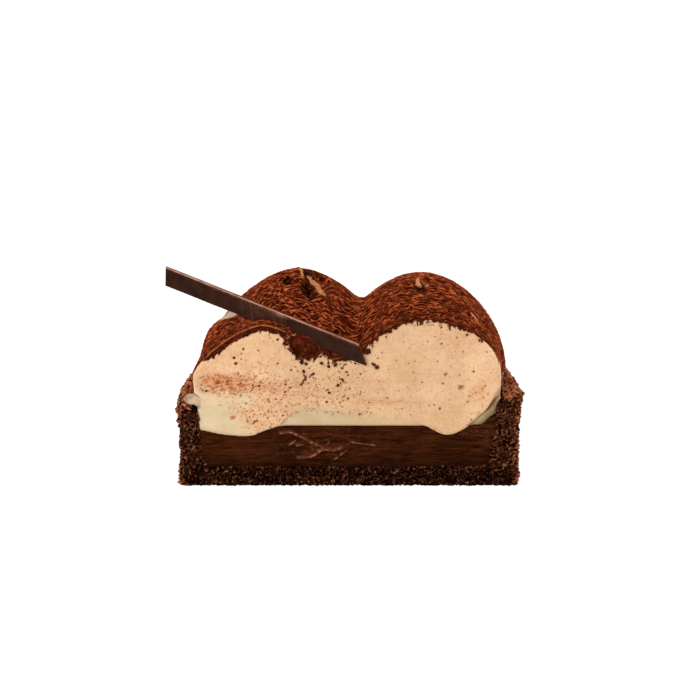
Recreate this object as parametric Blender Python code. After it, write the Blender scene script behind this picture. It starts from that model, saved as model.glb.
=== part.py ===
"""Half of a round chocolate tartlet, cut through its middle, standing on its flat underside.

Pieces: a dark crumbly crust, a ganache filling, a thin vanilla cream, a coffee mousse piped in
dollops and dusted with cocoa, and a thin chocolate stick that lies across the dollops.

Dimensions are in millimetres and are turned into metres when a mesh is made. X runs along the
cut, Y from the cut into the tartlet and Z up. The tartlet's round axis is the line x = y = 0,
and the cut lies on y = 0, until every piece is moved back by BASE_POINT_Y at the end.
"""

import math

import bmesh
import bpy
from mathutils import Vector, noise

MM = 0.001
GAP = 0.3
KNIFE_REACH = 60.0
# Rings that every filling shares
SEGMENTS = 84
TOP_RINGS = (0.12, 0.24, 0.36, 0.48, 0.6, 0.7, 0.79, 0.87, 0.94, 1.0)
MIDDLE_Y = 3.0

# Crust
OUTER_RADIUS = 35.1
OUTER_SWELL_TO_RIGHT = 0.2
RIM_HEIGHT = 21.4
RIM_TILT = 0.4
RIM_BROKEN_AT_LEFT = 1.1
FLOOR_HEIGHT = 4.5
WALL_THICKNESS = 4.5
WALL_TAPER = 1.2
WALL_TAPER_TO_RIGHT = 0.45
FLOOR_FILLET = 2.2
CRUST_ROUGHNESS = 0.42
CRUMB_SIZE = 2.1

# Ganache
GANACHE_HEIGHT = 13.9
GANACHE_DIPS = ((-22.0, 9.5, 2.3), (20.3, 5.4, 2.2))
DIP_DEPTH_Y = 10.0
MENISCUS = 1.3
MENISCUS_WIDTH = 3.2

# Vanilla cream
CREAM_HEIGHT = 17.2
CREAM_FALL = 0.13
CREAM_FALL_REACH = 13.0
CREAM_AT_WALL = 20.1
CREAM_BANK_WIDTH = 6.0

# Mousse: where it sags through the cream onto the ganache. Each lump has the x of its middle
# and pairs of height and half width.
LEFT_LUMP_HEIGHTS = (10.0, 11.7, 13.1, 14.8, 16.1, 17.4, 18.6, 21.0)
LEFT_LUMP_WIDTHS = (1.6, 2.6, 3.7, 4.7, 5.9, 7.6, 9.6, 11.6)
LEFT_LUMP = (-18.2, tuple(zip(LEFT_LUMP_HEIGHTS, LEFT_LUMP_WIDTHS)))
RIGHT_LUMP_HEIGHTS = (10.0, 12.2, 14.0, 15.3, 16.3, 17.5, 19.0, 21.0)
RIGHT_LUMP_WIDTHS = (2.4, 3.7, 4.5, 5.4, 6.5, 8.0, 9.4, 9.6)
RIGHT_LUMP = (19.9, tuple(zip(RIGHT_LUMP_HEIGHTS, RIGHT_LUMP_WIDTHS)))
LUMPS = (LEFT_LUMP, RIGHT_LUMP)
LUMP_DEPTH_SHARE = 1.1
# Piped dollops: (x, y, z of widest level, radius x, radius y, height, squareness). A dollop
# with a squareness of 2 is half an ellipsoid, and a lower one comes to more of a peak.
DOLLOP_LEFT = (-10.1, 14.0, 22.5, 18.8, 17.0, 19.4, 1.7)
DOLLOP_RIGHT = (14.4, 10.0, 22.5, 17.7, 17.6, 20.5, 1.7)
DOLLOP_RIGHT_SWELL = (18.8, 2.5, 23.5, 12.6, 12.0, 14.2, 1.7)
DOLLOP_FRONT = (-17.2, 1.4, 24.0, 13.6, 9.5, 12.9, 1.7)
DOLLOP_FRONT_CREST = (-20.5, 6.0, 24.0, 8.7, 7.0, 11.8, 2.6)
DOLLOP_FRONT_TAIL = (-18.6, 9.5, 23.0, 11.0, 11.0, 10.4, 1.7)
DOLLOPS = (
    DOLLOP_LEFT,
    DOLLOP_RIGHT,
    DOLLOP_RIGHT_SWELL,
    DOLLOP_FRONT,
    DOLLOP_FRONT_CREST,
    DOLLOP_FRONT_TAIL,
)
DOLLOP_FOOT = 12.0
MOUND = (0.1, 0.8, 20.2, 31.0, 30.8, 9.4)
BLEND = 1.3
# Hollows in the dollops: (x, y, z, radius x, radius y, radius z)
LEFT_CRATER = (-6.7, 10.6, 43.3, 3.0, 4.0, 3.6)
RIGHT_CRATER = (15.6, 7.6, 44.6, 2.0, 2.4, 2.8)
VALLEY_POCKET = (-8.9, -0.6, 33.6, 2.6, 6.0, 4.4)
VALLEY_SLOT = (-2.6, -0.8, 33.2, 2.0, 5.0, 4.3)
HOLLOWS = (LEFT_CRATER, RIGHT_CRATER, VALLEY_POCKET, VALLEY_SLOT)
# Drawn-out piping tips: (x, y, z of foot, radius, height)
TIPS = ((-9.9, 14.2, 41.0, 1.7, 2.5), (14.0, 8.3, 41.6, 1.5, 2.2))
MOUSSE_CENTRE = (0.0, 9.0, 20.0)
COCOA_ROUGHNESS = 0.22

# Chocolate stick: lower edge of its front face, from its free end to its sunk end
STICK_FREE_END = (-36.4, 5.0, 43.2)
STICK_SUNK_END = (4.2, -0.8, 28.2)
STICK_WIDTH = 3.95
STICK_THICKNESS = 1.1
STICK_END_SLANTS = (0.27, 0.9)

# Where the frame's origin lies on the underside, behind the cut
BASE_POINT_Y = 15.0

COLOURS = {
    "crust": ((0.040, 0.014, 0.006), 0.95),
    "ganache": ((0.040, 0.010, 0.003), 0.35),
    "cream": ((0.66, 0.47, 0.24), 0.55),
    "mousse": ((0.75, 0.45, 0.25), 0.75),
    "stick": ((0.030, 0.011, 0.008), 0.40),
}


def clear_scene():
    for obj in list(bpy.data.objects):
        bpy.data.objects.remove(obj, do_unlink=True)


def smoothstep(value):
    value = min(1.0, max(0.0, value))
    return value * value * (3.0 - 2.0 * value)


def crumbs(x, y, z, size, amount):
    """Uneven relief of two grain sizes, from -amount to +amount."""
    coarse = noise.noise(Vector((x, y, z)) / size)
    fine = noise.noise(Vector((y, z, x)) * 2.1 / size)
    return amount * (0.9 * coarse + 0.6 * fine)


def material(name):
    colour, roughness = COLOURS[name]
    made = bpy.data.materials.new(name)
    made.use_nodes = True
    shader = made.node_tree.nodes["Principled BSDF"]
    shader.inputs["Base Color"].default_value = (*colour, 1.0)
    shader.inputs["Roughness"].default_value = roughness
    shader.inputs["Metallic"].default_value = 0.0
    return made


def object_from(name, bm, helper=False):
    """A scene object in metres from a bmesh in millimetres. A helper only cuts other objects."""
    bmesh.ops.recalc_face_normals(bm, faces=bm.faces)
    bmesh.ops.scale(bm, vec=Vector((MM, MM, MM)), verts=bm.verts)
    mesh = bpy.data.meshes.new(name)
    bm.to_mesh(mesh)
    bm.free()
    obj = bpy.data.objects.new(name, mesh)
    bpy.context.scene.collection.objects.link(obj)
    if helper:
        obj.hide_render = True
        obj.display_type = "WIRE"
    else:
        obj.data.materials.append(material(name))
    return obj


def lathe(first_pole, rings, last_pole):
    """A closed body from rings of points, all of one length, with a point at either end."""
    bm = bmesh.new()
    start = bm.verts.new(first_pole)
    rows = [[bm.verts.new(point) for point in ring] for ring in rings]
    end = bm.verts.new(last_pole)
    count = len(rows[0])
    for i in range(count):
        j = (i + 1) % count
        bm.faces.new((start, rows[0][i], rows[0][j]))
        for lower, upper in zip(rows, rows[1:]):
            bm.faces.new((lower[i], upper[i], upper[j], lower[j]))
        bm.faces.new((end, rows[-1][j], rows[-1][i]))
    return bm


def cut(obj, tool):
    modifier = obj.modifiers.new("cut by " + tool.name, "BOOLEAN")
    modifier.operation = "DIFFERENCE"
    modifier.solver = "EXACT"
    modifier.object = tool


def join(obj, tool):
    modifier = obj.modifiers.new("join " + tool.name, "BOOLEAN")
    modifier.operation = "UNION"
    modifier.solver = "EXACT"
    modifier.object = tool


def turns(count):
    """Angles round the tartlet, none of them on the cut."""
    return [2.0 * math.pi * (i + 0.5) / count for i in range(count)]


# ---------------------------------------------------------------- shapes shared by the layers


def rim_height(angle):
    uneven = 0.35 * noise.noise(Vector((2.2 * math.cos(angle), 2.2 * math.sin(angle), 0.7)))
    from_left_cut = math.hypot(1.0 + math.cos(angle), math.sin(angle))
    broken = RIM_BROKEN_AT_LEFT * math.exp(-((from_left_cut / 0.12) ** 2))
    return RIM_HEIGHT + RIM_TILT * math.cos(angle) + uneven - broken


def outer_radius(angle):
    return OUTER_RADIUS + OUTER_SWELL_TO_RIGHT * math.cos(angle)


def inner_radius(angle, z):
    """The wall's smooth inner face, which leans in towards the floor."""
    down = (RIM_HEIGHT - z) / (RIM_HEIGHT - FLOOR_HEIGHT)
    taper = WALL_TAPER * (1.0 + WALL_TAPER_TO_RIGHT * math.cos(angle))
    return OUTER_RADIUS - WALL_THICKNESS - taper * max(0.0, down) ** 1.2


def ganache_top(x, y):
    """Height of the ganache: dipped under the mousse's lumps and drawn up at the wall."""
    height = GANACHE_HEIGHT
    back = math.exp(-((y / DIP_DEPTH_Y) ** 2))
    for centre, half_width, depth in GANACHE_DIPS:
        aside = min(1.0, abs(x - centre) / half_width)
        height -= depth * back * (1.0 - aside * aside) ** 2
    wall = inner_radius(math.atan2(y, x), GANACHE_HEIGHT)
    height += MENISCUS * smoothstep((math.hypot(x, y) - wall + MENISCUS_WIDTH) / MENISCUS_WIDTH)
    return height


def cream_top(x, y):
    """Height of the cream where no lump presses into it: higher along the wall."""
    level = CREAM_HEIGHT - CREAM_FALL * min(CREAM_FALL_REACH, max(-CREAM_FALL_REACH, x))
    wall = inner_radius(math.atan2(y, x), CREAM_HEIGHT)
    nearness = smoothstep((math.hypot(x, y) - wall + CREAM_BANK_WIDTH) / CREAM_BANK_WIDTH)
    return level + (CREAM_AT_WALL - level) * nearness


def over_layer(height):
    """Rings of points on a filling's top, from its middle to the wall. Every filling has the
    same ones, so that the gap between two of them stays even."""
    rings = []
    for share in TOP_RINGS:
        ring = []
        for a in turns(SEGMENTS):
            r = (inner_radius(a, GANACHE_HEIGHT) - GAP) * share
            x, y = r * math.cos(a), r * math.sin(a) + MIDDLE_Y * (1.0 - share)
            ring.append((x, y, height(x, y)))
        rings.append(ring)
    return rings


def middle_of(height):
    return (0.0, MIDDLE_Y, height(0.0, MIDDLE_Y))


def at_wall(height, above_gap=0.0):
    """A ring along the wall's inner face at the height that a filling has there."""
    ring = []
    for a in turns(SEGMENTS):
        z = height(*(inner_radius(a, GANACHE_HEIGHT) * side for side in (math.cos(a), math.sin(a))))
        r = inner_radius(a, z + above_gap) - GAP
        ring.append((r * math.cos(a), r * math.sin(a), z + above_gap))
    return ring


# ---------------------------------------------------------------------------- the knife cuts


def knife(name, half_width, top, spacing, relief):
    """A block in front of the cut. Its back face is a grid, uneven as relief(x, z) says."""
    bm = bmesh.new()
    columns = round(2.0 * half_width / spacing)
    levels = round((top + 2.0 * spacing) / spacing)
    bmesh.ops.create_grid(bm, x_segments=columns, y_segments=levels, size=1.0)
    for vert in bm.verts:
        x = vert.co.x * half_width
        z = (vert.co.y + 1.0) / 2.0 * (top + 2.0 * spacing) - 2.0 * spacing
        vert.co = Vector((x, relief(x, z), z))
    extruded = bmesh.ops.extrude_face_region(bm, geom=list(bm.faces))
    for item in extruded["geom"]:
        if isinstance(item, bmesh.types.BMVert):
            item.co.y = -KNIFE_REACH
    return object_from(name, bm, helper=True)


def crust_relief(x, z):
    return crumbs(x, 3.0, z, CRUMB_SIZE, CRUST_ROUGHNESS)


def ganache_relief(x, z):
    """Drag lines of the knife, and the folds it raised left of the middle."""
    drag = 0.10 * noise.noise(Vector((x / 9.0, 0.0, z / 1.3)))
    along = math.exp(-(((x + 6.0) / 7.5) ** 2))
    fold = z - (10.6 - 0.33 * (x + 6.0))
    ridge = math.exp(-((fold / 0.8) ** 2)) - 0.6 * math.exp(-(((fold - 1.6) / 1.0) ** 2))
    return drag + 0.28 * along * -ridge


def mousse_relief(x, z):
    return 0.16 * noise.noise(Vector((x / 6.0, 4.0, z / 3.5)))


# -------------------------------------------------------------------------------- the pieces


def crust():
    """Turned shell with a crumbly outside. Only its outside and rim are rough."""
    angles = turns(128)
    wall_levels = [1.0 + 1.6 * i for i in range(12)]

    def outer_ring(z, inset=0.0):
        points = []
        for a in angles:
            rough = crumbs(OUTER_RADIUS * a, 0.0, z, CRUMB_SIZE, CRUST_ROUGHNESS)
            r = outer_radius(a) - 0.3 - inset + rough
            points.append((r * math.cos(a), r * math.sin(a), z))
        return points

    def rim_ring(across, drop):
        points = []
        for a in angles:
            outer = outer_radius(a) - 0.5
            inner = inner_radius(a, RIM_HEIGHT)
            r = outer + (inner - outer) * across
            rough = crumbs(OUTER_RADIUS * a, 5.0 * across, 9.0, CRUMB_SIZE, CRUST_ROUGHNESS)
            points.append((r * math.cos(a), r * math.sin(a), rim_height(a) - drop + rough))
        return points

    def inner_ring(z, inset=0.0):
        points = []
        for a in angles:
            r = inner_radius(a, z) - inset
            points.append((r * math.cos(a), r * math.sin(a), z))
        return points

    rings = [outer_ring(0.0, inset=0.2)]
    rings += [outer_ring(z) for z in wall_levels]
    rings += [rim_ring(0.08, 0.7), rim_ring(0.35, 0.1), rim_ring(0.68, 0.0), rim_ring(0.92, 0.8)]
    rings += [inner_ring(z) for z in (17.6, 14.5, 11.0, FLOOR_HEIGHT + FLOOR_FILLET)]
    rings += [inner_ring(FLOOR_HEIGHT + 0.6, inset=0.7 * FLOOR_FILLET)]
    rings += [inner_ring(FLOOR_HEIGHT, inset=1.6 * FLOOR_FILLET)]
    body = lathe((0.0, 7.0, 0.0), rings, (0.0, 7.0, FLOOR_HEIGHT))
    return object_from("crust", body)


def ganache():
    """Fills the shell from its floor, rounded at the foot as the floor's fillet is."""

    def side_ring(z, inset):
        points = []
        for a in turns(SEGMENTS):
            r = inner_radius(a, z) - GAP - inset
            points.append((r * math.cos(a), r * math.sin(a), z))
        return points

    foot = FLOOR_HEIGHT + GAP
    rings = [side_ring(foot, 1.7 * FLOOR_FILLET), side_ring(foot + 0.6, 0.8 * FLOOR_FILLET)]
    rings += [side_ring(FLOOR_HEIGHT + FLOOR_FILLET + GAP, 0.0), side_ring(10.0, 0.0)]
    rings += reversed(over_layer(ganache_top))
    body = lathe((0.0, MIDDLE_Y, foot), rings, middle_of(ganache_top))
    return object_from("ganache", body)


def over_ganache(x, y):
    return ganache_top(x, y) + GAP


def over_cream(x, y):
    return cream_top(x, y) + GAP


def lump_body(lump, grow=0.0):
    centre_x, profile = lump
    rings = []
    for z, half_width in profile:
        r = half_width + grow
        turned = [(math.cos(a), math.sin(a)) for a in turns(48)]
        rings.append([(centre_x + r * c, LUMP_DEPTH_SHARE * r * s, z - grow) for c, s in turned])
    last = profile[-1][0] + 2.0
    return lathe((centre_x, 0.0, profile[0][0] - grow), rings, (centre_x, 0.0, last))


def cream():
    """A slab on the ganache, from which the lumps of mousse are taken."""
    rings = over_layer(over_ganache)
    rings += [at_wall(cream_top)]
    rings += reversed(over_layer(cream_top)[:-1])
    slab = object_from("cream", lathe(middle_of(over_ganache), rings, middle_of(cream_top)))
    for name, lump in zip(("left_hollow", "right_hollow"), LUMPS):
        cut(slab, object_from(name, lump_body(lump, grow=1.3 * GAP), helper=True))
    return slab


def dollop_distance(point, dollop):
    """Under zero inside a piped dollop, which narrows above and below its widest level."""
    x, y, z, radius_x, radius_y, height, squareness = dollop
    across = math.hypot((point.x - x) / radius_x, (point.y - y) / radius_y)
    above = point.z - z
    level = above / height if above > 0.0 else -above / DOLLOP_FOOT
    power = across**squareness + level**squareness
    return (power ** (1.0 / squareness) - 1.0) * min(radius_x, height)


def ellipsoid_distance(point, shape):
    x, y, z, radius_x, radius_y, radius_z = shape
    scaled = Vector(((point.x - x) / radius_x, (point.y - y) / radius_y, (point.z - z) / radius_z))
    return (scaled.length - 1.0) * min(radius_x, radius_y, radius_z)


def tip_distance(point, tip):
    x, y, foot, radius, height = tip
    level = min(1.0, max(0.0, (point.z - foot) / height))
    away = math.hypot(point.x - x, point.y - y) - radius * (1.0 - level)
    return max(away, point.z - foot - height, foot - 4.0 - point.z)


def blend(first, second, radius):
    """The nearer of two surfaces, rounded where they meet."""
    share = max(0.0, 1.0 - abs(first - second) / (2.0 * radius))
    return min(first, second) - 0.5 * radius * share * share


def mousse_distance(point):
    """Under zero inside the mousse, before it is trimmed by the layers under it."""
    found = ellipsoid_distance(point, MOUND)
    for dollop in DOLLOPS:
        found = blend(found, dollop_distance(point, dollop), BLEND)
    for tip in TIPS:
        found = blend(found, tip_distance(point, tip), 0.5)
    for hollow in HOLLOWS:
        found = -blend(-found, ellipsoid_distance(point, hollow), 0.35)
    return found


def out_to_surface(direction):
    """The point where a line out of the mousse's centre leaves it, found by halving."""
    centre = Vector(MOUSSE_CENTRE)
    near, far = 2.0, 60.0
    step = 1.0
    reach = near
    while reach < far and mousse_distance(centre + direction * reach) < 0.0:
        reach += step
    near, far = reach - step, reach
    for _ in range(16):
        middle = (near + far) / 2.0
        if mousse_distance(centre + direction * middle) < 0.0:
            near = middle
        else:
            far = middle
    return centre + direction * near


def mousse_body(cells):
    """A cube's grid blown up to the mousse's surface, with a little cocoa relief."""
    bm = bmesh.new()
    bmesh.ops.create_cube(bm, size=2.0)
    bmesh.ops.subdivide_edges(bm, edges=bm.edges, cuts=cells - 1, use_grid_fill=True)
    for vert in bm.verts:
        even = Vector([math.tan(side * math.pi / 4.0) for side in vert.co])
        direction = even.normalized()
        point = out_to_surface(direction)
        relief = crumbs(point.x, point.y, point.z, 2.4, COCOA_ROUGHNESS)
        vert.co = point + direction * relief
    return bm


def under_mousse():
    """All that the mousse lies on, grown by GAP: the cream, the wall's face and the rim."""

    def rim_ledge(inset, above_rim, radius=None):
        points = []
        for a in turns(SEGMENTS):
            r = radius or inner_radius(a, RIM_HEIGHT) - inset
            points.append((r * math.cos(a), r * math.sin(a), rim_height(a) + above_rim))
        return points

    rings = over_layer(over_cream)[:-1]
    rings += [at_wall(cream_top, above_gap=GAP)]
    rings += [rim_ledge(GAP, 0.2), rim_ledge(-0.9, 0.85), rim_ledge(0.0, 0.85, radius=50.0)]
    rings += [[(x, y, -10.0) for x, y, _ in rings[-1]]]
    body = lathe(middle_of(over_cream), rings, (0.0, MIDDLE_Y, -10.0))
    return object_from("under_mousse", body, helper=True)


def below_lumps():
    """The ganache grown by GAP, which trims the lumps of mousse from below."""
    rings = over_layer(over_ganache)
    rings += [[(x, y, 0.0) for x, y, _ in rings[-1]]]
    body = lathe(middle_of(over_ganache), rings, (0.0, MIDDLE_Y, 0.0))
    return object_from("below_lumps", body, helper=True)


def stick_corners(grow):
    """The stick's front outline and its thickness direction. grow widens it for the slot."""
    start, end = Vector(STICK_FREE_END), Vector(STICK_SUNK_END)
    along = (end - start).normalized()
    back = Vector((-along.y, along.x, 0.0)).normalized()
    up = back.cross(along) if back.cross(along).z > 0.0 else along.cross(back)
    slant_start, slant_end = (STICK_WIDTH * slant for slant in STICK_END_SLANTS)
    start = start - along * grow - up * grow - back * grow
    end = end + along * grow - up * grow - back * grow
    width = STICK_WIDTH + 2.0 * grow
    outline = [
        start,
        end,
        end + up * width - along * slant_end,
        start + up * width - along * slant_start,
    ]
    return outline, back * (STICK_THICKNESS + 2.0 * grow)


def stick_body(grow=0.0):
    outline, through = stick_corners(grow)
    bm = bmesh.new()
    face = bm.faces.new([bm.verts.new(corner) for corner in outline])
    extruded = bmesh.ops.extrude_face_region(bm, geom=[face])
    moved = [item for item in extruded["geom"] if isinstance(item, bmesh.types.BMVert)]
    bmesh.ops.translate(bm, verts=moved, vec=through)
    return bm


def stick():
    obj = object_from("stick", stick_body())
    bevel = obj.modifiers.new("worn edges", "BEVEL")
    bevel.width = 0.18 * MM
    bevel.segments = 2
    return obj


def mousse():
    obj = object_from("mousse", mousse_body(cells=26))
    cut(obj, under_mousse())
    floor = below_lumps()
    for name, lump in zip(("left_lump", "right_lump"), LUMPS):
        sag = object_from(name, lump_body(lump), helper=True)
        cut(sag, floor)
        join(obj, sag)
    cut(obj, knife("mousse_knife", 40.0, 50.0, 1.6, mousse_relief))
    cut(obj, object_from("stick_slot", stick_body(grow=GAP), helper=True))
    return obj


def main():
    clear_scene()
    shell = crust()
    cut(shell, knife("crust_knife", 40.0, 24.0, 1.4, crust_relief))
    filling = ganache()
    cut(filling, knife("ganache_knife", 40.0, 24.0, 1.3, ganache_relief))
    thin_cream = cream()
    cut(thin_cream, knife("cream_knife", 40.0, 30.0, 2.0, mousse_relief))
    pieces = [shell, filling, thin_cream, mousse(), stick()]
    tartlet = bpy.data.objects.new("tartlet", None)
    bpy.context.scene.collection.objects.link(tartlet)
    helpers = [obj for obj in bpy.data.objects if obj.hide_render]
    for obj in pieces + helpers:
        obj.parent = tartlet
    tartlet.location.y = -BASE_POINT_Y * MM


main()
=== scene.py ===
"""Half of a chocolate tartlet: crumb shell, ganache, vanilla cream, cocoa-dusted mousse and a stick.

Shapes are worked out in millimetres, with X along the cut, Y from the cut into the tartlet and
Z up. The tartlet's round axis is x = y = 0 and the cut lies on y = 0. finish_piece() turns a
shape into metres in the frame, where the cut lies BASE_POINT_Y in front of the origin.
"""

import itertools
import math

import bmesh
import bpy
import numpy as np
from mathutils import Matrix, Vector


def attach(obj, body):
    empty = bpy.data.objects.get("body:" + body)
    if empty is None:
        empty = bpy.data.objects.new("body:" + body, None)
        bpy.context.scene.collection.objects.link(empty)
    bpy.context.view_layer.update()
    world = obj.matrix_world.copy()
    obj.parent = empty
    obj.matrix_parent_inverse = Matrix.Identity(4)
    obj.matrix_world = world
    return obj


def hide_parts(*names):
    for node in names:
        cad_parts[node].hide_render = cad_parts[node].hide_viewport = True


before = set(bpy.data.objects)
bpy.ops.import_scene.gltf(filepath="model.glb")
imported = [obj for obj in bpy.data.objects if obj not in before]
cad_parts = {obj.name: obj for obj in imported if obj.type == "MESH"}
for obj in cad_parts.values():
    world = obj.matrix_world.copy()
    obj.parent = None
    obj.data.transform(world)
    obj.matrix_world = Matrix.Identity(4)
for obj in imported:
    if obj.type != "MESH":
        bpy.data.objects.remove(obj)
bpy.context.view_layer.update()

BASE_POINT_Y = 15.0
BODY = "root"

# Crust
OUTER_RADIUS = 35.1
OUTER_SWELL_TO_RIGHT = 0.2
RIM_HEIGHT = 21.4
RIM_TILT = 0.4
RIM_BROKEN_AT_LEFT = 1.1
RIM_FALL_INWARDS = 1.2
RIM_FLARE = 1.1
# Roundings of the rim's outer and inner edges
RIM_ROUNDING = (1.3, 0.9)
FLOOR_HEIGHT = 4.5
FLOOR_FILLET = 2.2
WALL_THICKNESS = 4.5
WALL_TAPER = 1.2
WALL_TAPER_TO_RIGHT = 0.45
# Pull of the wall's middle height inwards
WALL_WAIST = 0.5
# Start, end and count of the angles at which the crust is turned, in degrees: for its finely
# meshed half, and for the rest, which is cut off
CRUST_FINE = (-5.0, 185.0, 520)
CRUST_COARSE = (185.0, 355.0, 12)
# How far behind the round axis the middle points of the crust's and the ganache's meshes lie
CRUST_MIDDLE_Y = 7.0
GANACHE_MIDDLE_Y = 3.0

# Crumbs: widths of the round ones and of the short strands between them, how far they are pushed
# about to make them uneven, how far they stand out, which height among them, 0 to 1, lies on the
# crust's plain surface, and how many loose ones there are
CRUMB_SIZE = 0.58
CRUMB_WEB = 0.9
CRUMB_PUSH = 0.33
CRUMB_RELIEF = 0.62
CRUMB_LEVEL = 0.42
LOOSE_CRUMBS = 2300

# Strands of cocoa powder, in two sets that lean to either side: how far apart they are, over what
# lengths they bend and thin out, how far they are pushed about, how they lean and stand out
STRAND_SPACING = 0.9
STRAND_BEND = (2.4, 1.0, 2.4)
STRAND_PATCH = (1.6, 0.6, 1.6)
STRAND_PUSH = 0.5
STRAND_SLANT = 0.3
STRAND_LIFT = 0.26

# Blocks that cut the crust and the ganache: half width, height and spacing of the points
CRUST_KNIFE = (40.0, 26.0, 0.18)
GANACHE_KNIFE = (32.0, 17.0, 0.15)
KNIFE_DEPTH = 60.0

# Ganache
GANACHE_HEIGHT = 13.9
GANACHE_POINTS_ROUND = 160
# Dips as (x, reach to the left, reach to the right, depth)
GANACHE_DIPS = ((-22.0, 13.0, 9.5, 2.3), (20.3, 5.4, 5.4, 2.2))
DIP_DEPTH_Y = 10.0
MENISCUS = 1.2
MENISCUS_MORE_TO_RIGHT = 1.2
MENISCUS_WIDTH = 3.2

# Vanilla cream
CREAM_HEIGHT = 17.2
CREAM_FALL = 0.13
CREAM_FALL_REACH = 13.0
CREAM_AT_WALL = 20.1
CREAM_BANK_WIDTH = 6.0

# Cream smeared over the rim at the left end of the cut, as an ellipsoid
RIM_SMEAR = (-31.6, 0.3, 20.1, 2.0, 0.7, 1.2)

# Mousse: lumps that sag through the cream, as x of the middle, heights and half widths
LUMPS = (
    (
        -18.2,
        (10.0, 11.7, 13.1, 14.8, 16.1, 17.4, 18.6, 21.0),
        (1.6, 2.6, 3.7, 4.7, 5.9, 7.6, 9.6, 11.6),
    ),
    (
        19.9,
        (10.0, 12.2, 14.0, 15.3, 16.3, 17.5, 19.0, 21.0),
        (2.4, 3.7, 4.5, 5.4, 6.5, 8.0, 9.4, 9.6),
    ),
)
LUMP_DEPTH_SHARE = 1.1
# Piped dollops: (x, y, z of widest level, radius x, radius y, height, squareness)
DOLLOPS = (
    (-10.2, 12.8, 22.66, 19.5, 16.5, 20.5, 1.55),  # left
    (14.83, 10.2, 23.05, 17.6, 18.1, 19.75, 1.74),  # right
    (18.96, 2.2, 23.0, 12.8, 11.9, 13.2, 2.05),  # swell of the right one at the cut
    (-16.86, 1.2, 25.4, 14.5, 9.2, 11.8, 1.35),  # front, at the left of the cut
    (-20.9, 6.75, 24.1, 8.9, 6.8, 10.9, 2.9),  # its crest
    (-18.45, 9.5, 22.9, 10.85, 11.0, 10.4, 1.66),  # its tail
)
DOLLOP_FOOT = 20.0
DOLLOP_BLEND = 1.3
MOUND = (-0.2, 0.7, 19.1, 30.4, 30.8, 9.3)
# Right side of the right dollop: x at the cut, lean, and how far and where it swells further back
RIGHT_SIDE = (30.9, 0.08, 3.0, 6.0)
# Hollows in the dollops: (x, y, z, radius x, radius y, radius z)
HOLLOWS = (
    (-7.6, 9.0, 40.9, 1.9, 2.7, 4.1),  # crater of the left dollop
    (-5.4, 10.9, 42.1, 2.5, 3.6, 3.1),  # its wall
    (-7.4, 12.6, 43.2, 1.7, 2.6, 3.0),  # its back
    (-12.2, 10.2, 41.5, 1.0, 1.2, 0.9),  # dent of the left dollop
    (15.6, 7.6, 44.6, 2.0, 2.4, 2.8),  # crater of the right dollop
    (14.7, 6.3, 42.2, 1.5, 1.5, 1.3),  # its dent
    (-8.2, -0.6, 33.0, 3.5, 4.8, 3.8),  # pocket in the valley between the dollops
    (-2.6, -0.8, 32.6, 2.2, 4.0, 3.7),  # slot beside it
)
CRATERS = HOLLOWS[:3]
DENTS = (HOLLOWS[3], HOLLOWS[5])
# Mousse that the stick pressed up beside itself, in the hollow between the dollops
PRESSED_LUMPS = ((-9.9, 1.6, 32.3, 2.2, 1.3, 2.2), (-7.4, 1.6, 31.2, 2.3, 1.3, 1.9))
# Drawn-out piping tips: (x, y, z of foot, radius, height)
TIPS = ((-10.1, 13.6, 40.9, 2.2, 2.2), (13.9, 8.1, 41.2, 1.15, 2.3))
# Spacing of the points on the mousse and on the cream
MOUSSE_STEP = 0.15
CREAM_STEP = 0.29
# Boxes that hold the mousse and the cream, as two corners
MOUSSE_BOX = ((-33.5, -0.9, 10.5), (33.5, 33.0, 44.5))
CREAM_BOX = ((-35.5, -1.0, 11.0), (31.5, 31.5, 22.3))
# Where the dusted mousse is parted to keep each mesh small: a y and an x
DUSTED_PARTS = (18.0, 2.4)
# Ends of the front dollop's section on the cut
FRONT_DOLLOP_ENDS = (-30.5, -11.6)
# How far behind the cut its marks still colour the mesh
MARKS_DEPTH = 1.2
# Height up to which no cocoa lies, and how much higher that is at the left and right of the cut
BARE_HEIGHT = 22.2
BARE_MORE_AT_CUT = (4.0, 6.6)
# Roundings where a hollow, a tip and a lump of mousse meet what is round them
HOLLOW_BLEND = 0.35
TIP_BLEND = 0.5
LUMP_BLEND = 0.6

# How many tiny holes the mousse has at the left, and how many places are drawn for more of them
# and for clods of cocoa, most of which stay empty
HOLES_AT_LEFT = 120
HOLE_PLACES = 6500
CLOD_PLACES = 30000
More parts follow.
